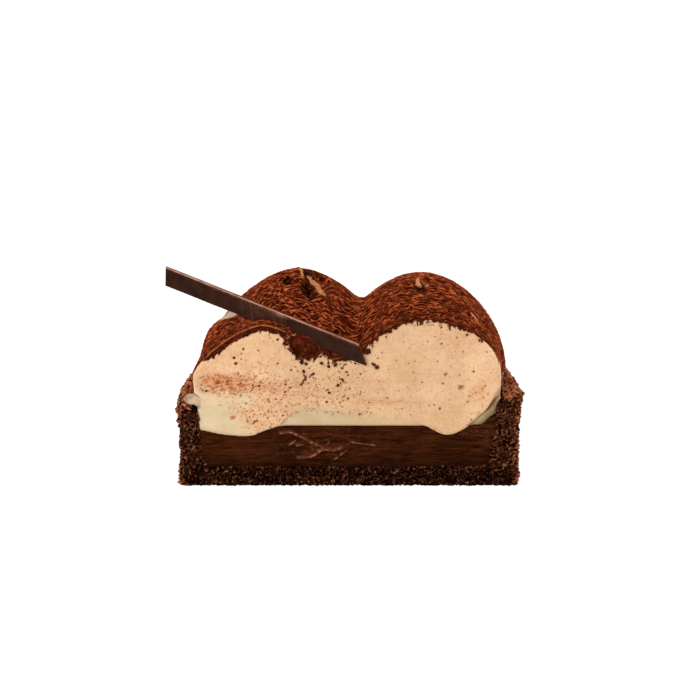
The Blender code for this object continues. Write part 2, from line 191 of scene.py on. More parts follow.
# Marks on the cut, as (x, z, radius)
PITS = (
    (18.5, 36.2, 0.24), (23.7, 34.6, 0.26), (18.6, 32.6, 0.2), (13.1, 26.2, 0.16), (17.9, 28.7, 0.14),
    (19.1, 23.7, 0.2), (14.9, 24.0, 0.18), (25.2, 26.4, 0.22), (2.5, 25.8, 0.2), (-20.9, 31.4, 0.24),
    (-21.3, 30.4, 0.16), (-22.8, 29.5, 0.32), (-22.5, 28.2, 0.34), (-21.4, 29.2, 0.18),
    (-17.9, 31.1, 0.18), (-14.0, 33.5, 0.28), (-24.1, 32.2, 0.24), (-8.9, 26.5, 0.26),
    (-4.1, 22.3, 0.22), (-3.8, 21.6, 0.32), (-4.3, 19.5, 0.26), (-28.6, 22.0, 0.28),
    (-12.6, 23.5, 0.24), (-20.0, 16.1, 0.16), (-19.1, 15.1, 0.2), (-18.5, 15.2, 0.2),
    (-16.3, 15.9, 0.16), (-16.0, 19.6, 0.2), (-13.5, 20.1, 0.18), (2.4, 16.7, 0.26), (4.6, 17.0, 0.16),
    (18.6, 17.9, 0.2), (17.5, 18.8, 0.16), (16.4, 18.8, 0.16), (-2.0, 23.3, 0.28), (-1.2, 24.6, 0.28),
    (-4.8, 30.2, 0.4), (0.0, 20.3, 0.22), (-8.4, 20.4, 0.16), (-0.2, 26.2, 0.2),
)
BUBBLES = ((22.9, 22.7, 0.62), (19.7, 25.7, 0.45))
RUSTY_SPOTS = (
    (24.2, 19.6, 0.4), (24.4, 20.9, 0.26), (25.2, 21.3, 0.2), (25.8, 21.7, 0.26), (27.1, 22.6, 0.3),
    (27.6, 23.2, 0.36), (28.3, 21.4, 0.24), (23.6, 18.9, 0.2), (-24.4, 23.9, 0.4),
    (-10.5, 17.1, 0.3), (-23.5, 15.9, 0.6), (9.7, 28.9, 0.3),
)
DARK_SMEARS = (
    (-8.9, 26.5, 0.28), (-7.0, 25.9, 0.28), (-9.5, 23.3, 0.3), (-8.8, 24.4, 0.28), (-19.2, 23.3, 0.25),
    (-18.0, 23.2, 0.25), (-1.6, 24.9, 0.22), (-1.2, 24.6, 0.24), (-1.0, 24.2, 0.22), (-2.0, 23.3, 0.3),
    (0.0, 25.6, 0.2), (-0.4, 26.4, 0.2), (-0.6, 22.2, 0.16), (-3.8, 21.6, 0.2),
)
# Cracks with dark sides, as a half width, a strength and a path
CRACKS = (
    (0.16, 0.55, ((-18.7, 22.1), (-17.4, 21.4), (-16.6, 20.3), (-15.8, 19.2))),
    (0.46, 1.0, ((-8.9, 26.6), (-8.8, 25.5), (-8.4, 24.9), (-8.8, 24.4), (-9.2, 23.7), (-9.6, 23.2))),
    (0.4, 0.9, ((-8.4, 24.9), (-7.8, 25.1), (-7.4, 25.7), (-6.9, 25.9))),
)
COCOA_CLODS = (
    (14.6, 37.2, 0.32), (9.3, 36.1, 0.32), (7.9, 35.3, 0.26), (3.8, 30.9, 0.6), (5.8, 27.4, 0.5),
    (5.2, 28.0, 0.3), (4.9, 28.2, 0.25), (-5.3, 28.3, 0.35), (-3.9, 27.6, 0.3), (-2.6, 27.9, 0.4),
    (-1.2, 27.2, 0.3), (-9.3, 28.6, 0.4), (-8.4, 28.2, 0.35), (-10.3, 29.4, 0.3),
)
# Broad smears of cocoa on the cut, as (x, z, width, height, strength)
RUSTY_SMEARS = (
    (-24.6, 23.6, 6.6, 2.6, 1.4),
    (-15.5, 22.9, 5.5, 1.8, 0.5),
    (-9.0, 23.8, 2.5, 3.2, 0.3),
    (-22.5, 17.0, 3.0, 1.6, 0.35),
    (26.3, 21.5, 2.0, 2.4, 0.45),
    (7.0, 19.6, 7.0, 0.9, 0.5),
    (-19.5, 14.5, 3.2, 1.6, 0.4),
)
# Streaks where the cocoa is thin, as (strength, start, end, width): four in the left crater, the
# left tip, two at the right tip, the right flank, the pressed lumps and the front dollop's edge
TAN_STREAKS = (
    (0.8, (-7.9, 13.4, 41.0), (-6.5, 12.6, 39.7), 0.75),
    (0.8, (-6.5, 12.6, 39.7), (-5.5, 11.0, 39.0), 0.7),
    (0.6, (-5.4, 10.6, 39.0), (-4.9, 8.2, 39.5), 0.5),
    (0.8, (-9.6, 13.2, 43.2), (-9.1, 11.4, 42.5), 0.35),
    (0.8, (13.8, 7.9, 43.6), (14.2, 7.4, 42.3), 0.6),
    (0.7, (14.9, 8.0, 42.8), (16.0, 7.9, 41.6), 0.4),
    (0.9, (24.7, 4.9, 37.0), (25.9, 4.2, 35.6), 0.25),
    (0.85, (-6.0, 1.35, 32.7), (-5.3, 1.3, 31.1), 0.3),
    (0.8, (-11.6, 0.7, 34.3), (-9.6, 1.9, 34.1), 0.3),
)
# Height of the folds in the ganache, and the folds that the knife raised, as paths of (x, z)
FOLD_HEIGHT = 0.42
GANACHE_FOLDS = (
    ((-13.7, 12.4), (-11.9, 12.7), (-9.8, 11.7), (-7.6, 10.3), (-5.8, 9.4), (-5.0, 8.7)),
    ((-5.0, 8.7), (-3.1, 8.3), (-1.3, 9.0)),
    ((-10.3, 6.6), (-7.9, 6.8), (-6.2, 7.7), (-5.4, 8.7)),
    ((-12.3, 9.4), (-10.7, 10.6)),
    ((-10.5, 9.4), (-9.3, 9.7)),
    ((-2.9, 6.1), (-0.2, 8.4)),
    ((0.4, 10.3), (5.7, 9.4)),
)

# Chocolate stick: lower edge of its front face, from its free end to its sunk end
STICK_FREE_END = (-36.4, 5.0, 43.0)
STICK_SUNK_END = (3.7, -0.8, 28.0)
STICK_WIDTH = 3.87
STICK_THICKNESS = 0.85
STICK_END_SLANTS = (0.31, 0.81)
STICK_ROUNDING = 0.14

# Camera, fitted to the photograph
CAMERA_PLACE = (0.38, -305.6, 180.3)
CAMERA_TILT = 26.0
CAMERA_LENS = 87.65

# Lights as name, place, size and power, all aimed at one spot, and the light all round
LIGHTS = (
    ("key", (-0.42, -0.38, 0.45), 0.35, 2.6),
    ("top", (0.05, -0.06, 0.65), 0.5, 1.5),
    ("right", (0.45, 0.06, 0.28), 0.3, 0.9),
)
LIT_SPOT = (0.0, 0.0, 0.02)
LIGHT_ALL_ROUND = 0.46
FLOOR_GLOW = 0.68

# Colours, 0 to 255. Stops are (value, colour)
# The crumbs' stops run from near-black painted shade in the gaps to light tops that are partly painted
# light
CRUMB_STOPS = (
    (0.0, (5, 1, 0)),
    (0.3, (15, 4, 1)),
    (0.5, (42, 18, 8)),
    (0.75, (84, 43, 24)),
    (1.0, (140, 85, 55)),
)
# Lighter, redder stops: on the rim's top painted light, on the outside partly the outer crust's redder
# colour and partly painted light
BAKED_STOPS = (
    (0.0, (24, 7, 2)),
    (0.3, (64, 23, 10)),
    (0.5, (116, 56, 31)),
    (0.75, (162, 91, 58)),
    (1.0, (200, 128, 90)),
)
# The cocoa's stops run from near-black painted shade in the gaps between strands to light strand tops
# that are partly painted light
COCOA_STOPS = ((0.0, (26, 5, 0)), (0.25, (66, 20, 5)), (0.55, (108, 40, 15)), (1.0, (188, 92, 48)))
# Painted highlight along the bead on the front dollop's upper edge
COCOA_LIP = (182, 106, 66)
CREAM_PALE = (228, 203, 165)
CREAM_DEEP = (210, 184, 138)
MOUSSE_PALE = (238, 195, 154)
MOUSSE_DEEP = (223, 173, 130)
MOUSSE_YELLOW = (226, 186, 138)


# -------------------- random relief


def lattice(cell, seed):
    """A repeatable number from 0 to 1 for each whole-number cell."""
    cell = (cell + 100000).astype(np.uint64)
    mixed = cell[..., 0] * np.uint64(73856093) ^ cell[..., 1] * np.uint64(19349663)
    mixed ^= cell[..., 2] * np.uint64(83492791) ^ np.uint64(seed * 2654435761 + 12345)
    for shift, factor in ((13, 1274126177), (15, 2246822519), (16, 3266489917)):
        mixed ^= mixed >> np.uint64(shift)
        mixed = (mixed * np.uint64(factor)) & np.uint64(0xFFFFFFFF)
    mixed ^= mixed >> np.uint64(15)
    return mixed.astype(np.float64) / 4294967296.0


def cell_noise(points, slope_at):
    """Smooth noise from slopes at the corners of the unit cells that points lie in."""
    base = np.floor(points)
    part = points - base
    base = base.astype(np.int64)
    ease = part**3 * (part * (part * 6.0 - 15.0) + 10.0)
    total = np.zeros(len(points))
    for corner in itertools.product((0, 1), repeat=3):
        corner = np.array(corner)
        weight = np.prod(np.where(corner, ease, 1.0 - ease), axis=1)
        total += slope_at(base + corner, part - corner) * weight
    return total


def noise(points, size, seed=0):
    """Smooth noise of about -1 to 1. size is one width, or one for each of X, Y and Z."""

    def slope(cell, away):
        turn = lattice(cell, seed) * 2.0 * math.pi
        tilt = lattice(cell, seed + 57) * 2.0 - 1.0
        flat = np.sqrt(1.0 - tilt**2)
        x, y, z = away.T
        return x * flat * np.cos(turn) + y * flat * np.sin(turn) + z * tilt

    return cell_noise(points / np.asarray(size, float), slope) * 1.7


def push(points, size, seeds):
    """Smooth random vectors, with one seed for each of X, Y and Z."""
    return np.stack([noise(points, size, seed) for seed in seeds], axis=1)


def grains(points, size, seed=0):
    """Distance to the nearest of scattered points, in sizes, and a number from 0 to 1 of its own."""
    scaled = points / np.asarray(size, float)
    base = np.floor(scaled).astype(np.int64)
    nearest = np.full(len(points), 9.0)
    own = np.zeros(len(points))
    for offset in itertools.product((-1, 0, 1), repeat=3):
        cell = base + np.array(offset)
        spot = np.stack([lattice(cell, seed + 11 * i) for i in range(3)], axis=1)
        away = np.linalg.norm(scaled - cell - spot, axis=1)
        closer = away < nearest
        own = np.where(closer, lattice(cell, seed + 77), own)
        nearest = np.where(closer, away, nearest)
    return nearest, own


def mixed_hash(cell):
    """The number that a noise texture gives to each whole-number cell."""

    def turn(value, places):
        return (value << np.uint32(places)) | (value >> np.uint32(32 - places))

    a, b, c = cell.astype(np.uint32).T + np.uint32(0xDEADBEEF + 25)
    for first, second, third in ((14, 11, 25), (16, 4, 14)):
        c = (c ^ b) - turn(b, first)
        a = (a ^ c) - turn(c, second)
        b = (b ^ a) - turn(a, third)
    return (c ^ b) - turn(b, 24)


def wave(points):
    """Smooth noise of -1 to 1 that is the same as a material's noise texture without detail."""

    def slope(cell, away):
        key = mixed_hash(cell) & np.uint32(15)
        x, y, z = away.T
        first = np.where(key < 8, x, y)
        second = np.where(key < 4, y, np.where((key == 12) | (key == 14), x, z))
        return np.where(key & 1, -first, first) + np.where(key & 2, -second, second)

    return 0.982 * cell_noise(points, slope)


def clipped(values):
    return np.clip(values, 0.0, 1.0)


def threads(points, size, width, seed):
    """Thin lines that wander and branch, 1 on a line and 0 away from it."""
    return clipped(1.0 - np.abs(noise(points, size, seed)) / width)


def smoothstep(value):
    value = clipped(value)
    return value * value * (3.0 - 2.0 * value)


def hump(x, z, centre_x, centre_z, width, height):
    """1 at a spot of the cut, falling off smoothly over a width and a height."""
    return np.exp(-(((x - centre_x) / width) ** 2) - ((z - centre_z) / height) ** 2)


def from_line(points, start, end):
    """Vectors to points from the nearest place on a line between two places, and the line's."""
    along = end - start
    share = clipped((points - start) @ along / (along @ along))
    return points - start - share[:, None] * along, along


def smooth_path(stations, values, at):
    """Values between stations along a smooth curve."""
    stations, values = np.asarray(stations, float), np.asarray(values, float)
    slopes = np.gradient(values, stations)
    at = np.clip(at, stations[0], stations[-1])
    i = np.clip(np.searchsorted(stations, at) - 1, 0, len(stations) - 2)
    width = stations[i + 1] - stations[i]
    t = (at - stations[i]) / width
    rise = t * t * (3.0 - 2.0 * t)
    bend = t * (1.0 - t)
    straight = values[i] * (1.0 - rise) + values[i + 1] * rise
    return straight + width * bend * ((1.0 - t) * slopes[i] - t * slopes[i + 1])


class Drawing:
    """Numbers over the plane of the cut, laid down at a fine spacing and read back anywhere."""

    spacing = 0.08

    def __init__(self):
        self.xs = np.arange(-37.0, 37.0, self.spacing)
        self.zs = np.arange(-1.0, 45.0, self.spacing)
        x, z = np.meshgrid(self.xs, self.zs, indexing="ij")
        self.points = np.stack([x.ravel(), np.zeros(x.size), z.ravel()], axis=1)
        self.values = np.zeros(x.shape)

    def add(self, values):
        self.values += np.asarray(values).reshape(self.values.shape)

    def blot(self, x, z, radius, strength, stretch=1.0, turn=0.0):
        """Adds a soft-edged disc or oval, turned by an angle."""
        reach = radius * max(1.0, stretch) * 1.6
        i = slice(*np.searchsorted(self.xs, (x - reach, x + reach)))
        j = slice(*np.searchsorted(self.zs, (z - reach, z + reach)))
        across, up = np.meshgrid(self.xs[i] - x, self.zs[j] - z, indexing="ij")
        along = across * math.cos(turn) + up * math.sin(turn)
        aside = up * math.cos(turn) - across * math.sin(turn)
        distance = np.hypot(along / stretch, aside) / radius
        self.values[i, j] += strength * smoothstep((1.5 - distance) / 1.0)

    def distance_to(self, path):
        """How far every place is from a path, and on which side of it, above or below."""
        points = self.points[:, [0, 2]]
        nearest = np.full(len(points), 1e9)
        above = np.zeros(len(points))
        for start, end in itertools.pairwise(np.array(path)):
            away, along = from_line(points, start, end)
            distance = np.hypot(away[:, 0], away[:, 1])
            side = np.sign(away[:, 1] * along[0] - away[:, 0] * along[1])
            above = np.where(distance < nearest, side, above)
            nearest = np.minimum(distance, nearest)
        return nearest, above

    def limited(self):
        """The same drawing with its values kept between 0 and 1."""
        self.values = clipped(self.values)
        return self

    def read(self, points):
        u = np.clip((points[:, 0] - self.xs[0]) / self.spacing, 0.0, len(self.xs) - 1.001)
        v = np.clip((points[:, 2] - self.zs[0]) / self.spacing, 0.0, len(self.zs) - 1.001)
        i, j = u.astype(int), v.astype(int)
        u, v = u - i, v - j
        low = self.values[i, j] * (1.0 - v) + self.values[i, j + 1] * v
        high = self.values[i + 1, j] * (1.0 - v) + self.values[i + 1, j + 1] * v
        return low * (1.0 - u) + high * u


# -------------------- meshes


def linked(name, data):
    obj = bpy.data.objects.new(name, data)
    bpy.context.scene.collection.objects.link(obj)
    return obj


def discard(obj):
    mesh = obj.data
    bpy.data.objects.remove(obj)
    bpy.data.meshes.remove(mesh)


def object_from(name, points, faces):
    """A mesh object from point and face arrays. faces has one or more arrays of equal faces."""
    mesh = bpy.data.meshes.new(name)
    groups = [np.asarray(group, np.int32) for group in faces]
    points = np.asarray(points, np.float32)
    mesh.vertices.add(len(points))
    mesh.vertices.foreach_set("co", points.ravel())
    corners = np.concatenate([group.ravel() for group in groups])
    mesh.loops.add(len(corners))
    mesh.loops.foreach_set("vertex_index", corners)
    sizes = np.concatenate([np.full(len(group), group.shape[1]) for group in groups])
    starts = np.concatenate([[0], np.cumsum(sizes)[:-1]]).astype(np.int32)
    mesh.polygons.add(len(sizes))
    mesh.polygons.foreach_set("loop_start", starts)
    mesh.update(calc_edges=True)
    mesh.validate()
    mesh.shade_smooth()
    return linked(name, mesh)


def vectors_of(items, name):
    found = np.empty(len(items) * 3, np.float32)
    items.foreach_get(name, found)
    return found.reshape(-1, 3).astype(float)


def points_of(obj):
    return vectors_of(obj.data.vertices, "co")


def normals_of(obj):
    return vectors_of(obj.data.vertex_normals, "vector")


def move_points(obj, points):
    obj.data.vertices.foreach_set("co", np.asarray(points, np.float32).ravel())
    obj.data.update()


def give(obj, **fields):
    """Stores numbers for each point, which the material reads by their names."""
    for name, values in fields.items():
        attribute = obj.data.attributes.new(name, "FLOAT", "POINT")
        attribute.data.foreach_set("value", np.asarray(values, np.float32))


def give_flow(obj, vectors):
    """Stores the place in a pattern for each point, which the material reads."""
    attribute = obj.data.attributes.new("flow", "FLOAT_VECTOR", "POINT")
    attribute.data.foreach_set("vector", np.asarray(vectors, np.float32).ravel())


def bake(obj):
    """Makes the result of an object's modifiers its mesh."""
    graph = bpy.context.evaluated_depsgraph_get()
    mesh = bpy.data.meshes.new_from_object(obj.evaluated_get(graph))
    old = obj.data
    obj.modifiers.clear()
    obj.data = mesh
    bpy.data.meshes.remove(old)
    mesh.name = obj.name


def cut(obj, tool):
    """Takes tool's shape out of obj and deletes tool."""
    modifier = obj.modifiers.new("cut", "BOOLEAN")
    modifier.operation = "DIFFERENCE"
    modifier.solver = "MANIFOLD"
    modifier.object = tool
    bake(obj)
    discard(tool)


def squares(index):
    """Corners of the squares between neighbours in a table of point numbers."""
    corners = [index[:-1, :-1], index[1:, :-1], index[1:, 1:], index[:-1, 1:]]
    return np.stack(corners, axis=-1).reshape(-1, 4)


def lathe(name, first_pole, rings, last_pole):
    """A closed body from rings of points with a point at either end."""
    rings = np.asarray(rings, float)
    rows, count = rings.shape[:2]
    points = np.concatenate([[first_pole], rings.reshape(-1, 3), [last_pole]])
    index = 1 + np.arange(rows * count).reshape(rows, count)
    index = np.concatenate([index, index[:, :1]], axis=1)
    start = np.stack([np.zeros(count, int), index[0, :-1], index[0, 1:]], -1)
    end = np.stack([np.full(count, len(points) - 1), index[-1, 1:], index[-1, :-1]], -1)
    obj = object_from(name, points, [squares(index), start, end])
    turn_outwards(obj)
    return obj


def turn_outwards(obj):
    """Faces a closed mesh outwards."""
    obj.data.calc_loop_triangles()
    corners = np.empty(len(obj.data.loop_triangles) * 3, np.int32)
    obj.data.loop_triangles.foreach_get("vertices", corners)
    triangles = points_of(obj)[corners.reshape(-1, 3)]
    if np.linalg.det(triangles).sum() < 0.0:
        obj.data.flip_normals()


def knife(name, half_width, top, spacing, relief):
    """A block in front of the cut, whose back face is a fine grid uneven as relief says."""
    xs = np.arange(-half_width, half_width + spacing / 2.0, spacing)
    zs = np.arange(-2.0 * spacing, top + spacing / 2.0, spacing)
    x, z = np.meshgrid(xs, zs, indexing="ij")
    flat = np.stack([x.ravel(), np.zeros(x.size), z.ravel()], axis=1)
    flat[:, 1] = relief(flat)
    index = np.arange(x.size).reshape(x.shape)
    quads = np.stack([index[:-1, :-1], index[:-1, 1:], index[1:, 1:], index[1:, :-1]], -1)
    border = np.concatenate([index[:, 0], index[-1, 1:], index[-2::-1, -1], index[0, -2:0:-1]])
    front = flat[border] * [1.0, 0.0, 1.0] - [0.0, KNIFE_DEPTH, 0.0]
    this = len(flat) + np.arange(len(border))
    after = np.roll(this, -1)
    sides = np.stack([border, np.roll(border, -1), after, this], -1)
    fan = np.stack([np.full(len(this), this[-1] + 1), this, after], -1)
    points = np.concatenate([flat, front, [[0.0, -KNIFE_DEPTH, top / 2.0]]])
    obj = object_from(name, points, [quads.reshape(-1, 4), sides, fan])
    turn_outwards(obj)
    return obj


def field_grid(field, low, high, step):
    """Values of a field on a grid. Away from the field's surface they are only coarse."""
    block = 4
    counts = np.ceil((np.array(high) - low) / (step * block)).astype(int)
    corners = low + step * block * np.indices(counts + 1).reshape(3, -1).T
    values = field(corners).reshape(counts + 1)
    close = np.abs(values) < 2.2 * step * block
    near = np.zeros(counts, bool)
    for offset in itertools.product((0, 1), repeat=3):
        near |= close[tuple(slice(start, start + count) for start, count in zip(offset, counts))]
    values = values[:-1, :-1, :-1]
    for axis in range(3):
        near = np.repeat(near, block, axis=axis)
        values = np.repeat(values, block, axis=axis)
    spots = np.argwhere(near)
    for piece in np.array_split(spots, len(spots) // 400000 + 1):
        values[tuple(piece.T)] = field(low + piece * step)
    return values


def skin(name, field, low, high, step):
    """A mesh of small, almost even squares over the surface where a field changes its sign."""
    values = field_grid(field, np.array(low), high, step)
    last = np.array(values.shape) - 1
    cells, places, faces = [], [], []
    for axis in range(3):
        before, after = [slice(None)] * 3, [slice(None)] * 3
        before[axis], after[axis] = slice(None, -1), slice(1, None)
        a, b = values[tuple(before)], values[tuple(after)]
        spots = np.argwhere((a < 0.0) != (b < 0.0))
        others = [i for i in range(3) if i != axis]
        inside = (spots[:, others] > 0) & (spots[:, others] < last[others])
        spots = spots[inside.all(axis=1)]
        start, end = a[tuple(spots.T)], b[tuple(spots.T)]
        place = spots.astype(float)
        place[:, axis] += start / (start - end)
        around = []
        for aside in ((0, 0), (1, 0), (1, 1), (0, 1)):
            cell = spots.copy()
            cell[:, others] -= aside
            around.append(np.ravel_multi_index(tuple(cell.T), values.shape))
        cells += around
        places += [place] * 4
        around = np.stack(around, axis=1)
        flip = (start < 0.0) == (axis == 1)
        around[flip] = around[flip][:, ::-1]
        faces.append(around)
    used, index = np.unique(np.concatenate(cells), return_inverse=True)
    places = np.concatenate(places)
    count = np.bincount(index)
    points = np.stack([np.bincount(index, places[:, i]) / count for i in range(3)], axis=1)
    faces = np.searchsorted(used, np.concatenate(faces))
    return object_from(name, np.asarray(low) + points * step, [faces])


def finish_piece(obj, node, look):
    """Gives a piece its material, and moves it from millimetres at the tartlet's axis into the frame.
    It hides the model's node that it replaces."""
    obj.data.materials.clear()
    obj.data.materials.append(look)
    points = points_of(obj) - [0.0, BASE_POINT_Y, 0.0]
    move_points(obj, points * 0.001)
    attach(obj, BODY)
    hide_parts(node)


# -------------------- shapes shared by the layers


def rim_height(angle):
    """Height of the rim, uneven and broken away a little at the left end of the cut."""
    around = np.stack([np.cos(angle), np.sin(angle), np.full_like(angle, 0.3)], axis=-1)
    uneven = 0.4 * noise(around.reshape(-1, 3), 0.45, 3).reshape(np.shape(angle))
    from_left_cut = np.hypot(1.0 + np.cos(angle), np.sin(angle))
    broken = RIM_BROKEN_AT_LEFT * np.exp(-((from_left_cut / 0.12) ** 2))
    return RIM_HEIGHT + RIM_TILT * np.cos(angle) + uneven - broken


def outer_radius(angle):
    return OUTER_RADIUS + OUTER_SWELL_TO_RIGHT * np.cos(angle)


def inner_radius(angle, z):
    """Radius of the wall's inner face, which tapers downwards and flares at the rim."""
    down = (RIM_HEIGHT - z) / (RIM_HEIGHT - FLOOR_HEIGHT)
    taper = WALL_TAPER * (1.0 + WALL_TAPER_TO_RIGHT * np.cos(angle))
    flare = RIM_FLARE * smoothstep((z - RIM_HEIGHT + 3.2) / 3.4)
    return OUTER_RADIUS - WALL_THICKNESS + flare - taper * np.maximum(0.0, down) ** 1.2


def rim_surface(angle, radius):
    """Height of the rim's top, which falls a little inwards."""
    outside = outer_radius(angle) - RIM_ROUNDING[0]
    inside = inner_radius(angle, RIM_HEIGHT) + RIM_ROUNDING[1]
    inwards = clipped((outside - radius) / (outside - inside))
    return rim_height(angle) - 0.2 - RIM_FALL_INWARDS * inwards


def ganache_top(x, y):
    """Height of the ganache: dips under the sags of mousse, and a rise at the wall."""
    height = np.full(np.shape(x), GANACHE_HEIGHT)
    back = np.exp(-((y / DIP_DEPTH_Y) ** 2))
    for centre, left, right, depth in GANACHE_DIPS:
        aside = clipped(np.where(x < centre, (centre - x) / left, (x - centre) / right))
        height = height - depth * back * (1.0 - aside * aside) ** 2
    angle = np.arctan2(y, x)
    wall = inner_radius(angle, GANACHE_HEIGHT)
    rise = smoothstep((np.hypot(x, y) - wall + MENISCUS_WIDTH) / MENISCUS_WIDTH)
    return height + (MENISCUS + MENISCUS_MORE_TO_RIGHT * np.cos(angle)) * rise


def cream_top(x, y):
    """Height of the cream, which falls to the right and rises at the wall."""
    level = CREAM_HEIGHT - CREAM_FALL * np.clip(x, -CREAM_FALL_REACH, CREAM_FALL_REACH)
    wall = inner_radius(np.arctan2(y, x), CREAM_HEIGHT)
    nearness = smoothstep((np.hypot(x, y) - wall + CREAM_BANK_WIDTH) / CREAM_BANK_WIDTH)
    return level + (CREAM_AT_WALL - level) * nearness


def blend(first, second, radius):
    """The nearer of two surfaces, rounded where they meet."""
    share = np.maximum(0.0, 1.0 - np.abs(first - second) / (2.0 * radius))
    return np.minimum(first, second) - 0.5 * radius * share * share


def dollop_distance(points, dollop):
    x, y, z, radius_x, radius_y, height, squareness = dollop
    across = np.hypot((points[:, 0] - x) / radius_x, (points[:, 1] - y) / radius_y)
    above = points[:, 2] - z
    level = np.where(above > 0.0, above / height, -above / DOLLOP_FOOT)
    power = across**squareness + level**squareness
    return (power ** (1.0 / squareness) - 1.0) * min(radius_x, height)


def ellipsoid_distance(points, shape):
    centre, radii = np.array(shape[:3]), np.array(shape[3:])
    return (np.linalg.norm((points - centre) / radii, axis=1) - 1.0) * radii.min()


def tip_distance(points, tip):
    x, y, foot, radius, height = tip
    level = clipped((points[:, 2] - foot) / height)
    away = np.hypot(points[:, 0] - x, points[:, 1] - y) - radius * (1.0 - level)
    return np.maximum(away, np.maximum(points[:, 2] - foot - height, foot - 4.0 - points[:, 2]))


def without(shape, hole, radius):
    """A shape less a hole, with the edge between them rounded."""
    return -blend(-shape, hole, radius)


def dollops_distance(points):
    """Under zero inside the mousse above the fillings."""
    found = ellipsoid_distance(points, MOUND)
    for dollop in DOLLOPS:
        found = blend(found, dollop_distance(points, dollop), DOLLOP_BLEND)
    x, y, _ = points.T
    at_cut, lean, swell, swell_y = RIGHT_SIDE
    right_side = x - at_cut - lean * y - swell * smoothstep((y - swell_y) / swell_y)
    found = without(found, -right_side, 1.0)
    for hollow in HOLLOWS:
        found = without(found, ellipsoid_distance(points, hollow), HOLLOW_BLEND)
    for tip in TIPS:
        found = blend(found, tip_distance(points, tip), TIP_BLEND)
    pressed = [ellipsoid_distance(points, lump) for lump in PRESSED_LUMPS]
    return blend(found, blend(*pressed, 0.8), 0.12)


def lump_distance(points, lump):
    centre_x, heights, widths = lump
    half_width = smooth_path(heights, widths, points[:, 2])
    away = np.hypot(points[:, 0] - centre_x, points[:, 1] / LUMP_DEPTH_SHARE) - half_width
    return np.maximum(0.75 * away, points[:, 2] - heights[-1])


def cream_share_distance(points):
    """Under zero where there is cream, or ganache under it, and not a lump of mousse."""
    top = (points[:, 2] - cream_top(points[:, 0], points[:, 1])) * 0.9
    for lump in LUMPS:
        top = without(top, lump_distance(points, lump), LUMP_BLEND)
    return top


def mousse_distance(points):
    """Under zero inside the mousse, before the cut. It runs a little way in under the cream."""
    x, y, z = points.T
    under_cream = 0.3 + 0.5 * smoothstep((22.0 - x) / 2.0)
    found = np.maximum(dollops_distance(points), -cream_share_distance(points) - under_cream)
    found = np.maximum(found, (ganache_top(x, y) - z) * 0.9)
    angle, radius = np.arctan2(y, x), np.hypot(x, y)
    over_rim = rim_surface(angle, radius) - 0.25 - z
    found = np.maximum(found, np.minimum(radius - inner_radius(angle, z), over_rim))
    right_tip = 0.88 * (x - 29.4) - 0.46 * (z - 20.2)
    return np.maximum(found, right_tip - 3.0 * smoothstep((y - 0.5) / 3.0))


def front_share(x):
    """1 along the front dollop's section and 0 beyond it."""
    left, right = FRONT_DOLLOP_ENDS
    return smoothstep((x - left) / 3.0) * smoothstep((right - x) / 1.5)


def busy_share(points):
    """Where the knife tore the mousse the most."""
    return smoothstep((6.0 - points[:, 0]) / 8.0) * smoothstep((29.0 - points[:, 2]) / 5.0)


def spots_on_cut(rng, half_width, heights, count):
    """Scattered places on the cut's plane."""
    across = rng.uniform(-half_width, half_width, count)
    return np.stack([across, np.zeros(count), rng.uniform(*heights, count)], axis=1)


def draw_pits():
    """Small holes and specks in the mousse: the ones that stand out, and many tiny ones. The dark of
    the holes is painted shade.
    """
    drawing = Drawing()
    for spot in PITS:
        drawing.blot(*spot, 1.0)
    # Painted shade: a smaller disc set up and to the left in each bubble, where its inner wall is in
    # shade
    for x, z, radius in BUBBLES:
        drawing.blot(x - 0.1 * radius, z + 0.15 * radius, 0.75 * radius, 0.36)
    rng = np.random.default_rng(11)
    for _ in range(HOLES_AT_LEFT):
        x, z = rng.normal(-23.0, 4.2), max(rng.normal(23.6, 1.3), 21.0 + 1.4 * rng.random())
        drawing.blot(x, z, 0.08 + 0.1 * rng.random(), 0.3 + 0.5 * rng.random())
    spots = spots_on_cut(rng, 30, (10, 43), HOLE_PLACES)
    inside = dollops_distance(spots) < -0.5
    inside &= cream_share_distance(spots) > -0.8 + 2.2 * (spots[:, 0] < -20.0)
    chosen = spots[inside & (rng.random(HOLE_PLACES) < 0.12 + 0.88 * busy_share(spots))]
    for (x, _, z), size in zip(chosen, rng.random(len(chosen))):
        drawing.blot(x, z, 0.08 + 0.13 * size**4.5, 0.35 + 0.6 * rng.random())
    return drawing.limited()


def draw_relief(pits):
    """Depth of the cut behind its plane."""
    drawing = Drawing()
    flat = drawing.points
    x, _, z = flat.T
    drawing.add(0.07 * noise(flat, (6.0, 5.0, 3.5), 5) + 0.03 * noise(flat, (2.4, 5.0, 0.8), 6))
    drawing.add(0.014 * noise(flat, 0.45, 7))
    drawing.add(0.16 * pits.values.ravel() ** 1.5)
    for bubble_x, bubble_z, radius in BUBBLES:
        away = np.hypot(x - bubble_x, z - bubble_z) / radius
        drawing.add(1.1 * radius * np.sqrt(clipped(1.0 - away**2)))
    for spot in DARK_SMEARS:
        drawing.blot(*spot, 0.12)
    for width, _, path in CRACKS:
        distance, _ = drawing.distance_to(path)
        drawing.add(0.1 * smoothstep(1.0 - distance / (0.1 + width)))
    drawing.add(-0.3 * (smoothstep((17.5 - z) / 4.0) * smoothstep((x + 23.5) / 5.0)))
    band = front_share(x) * smoothstep((1.15 + dollops_distance(flat)) / 0.3)
    drawing.add(0.1 * band)
    return drawing


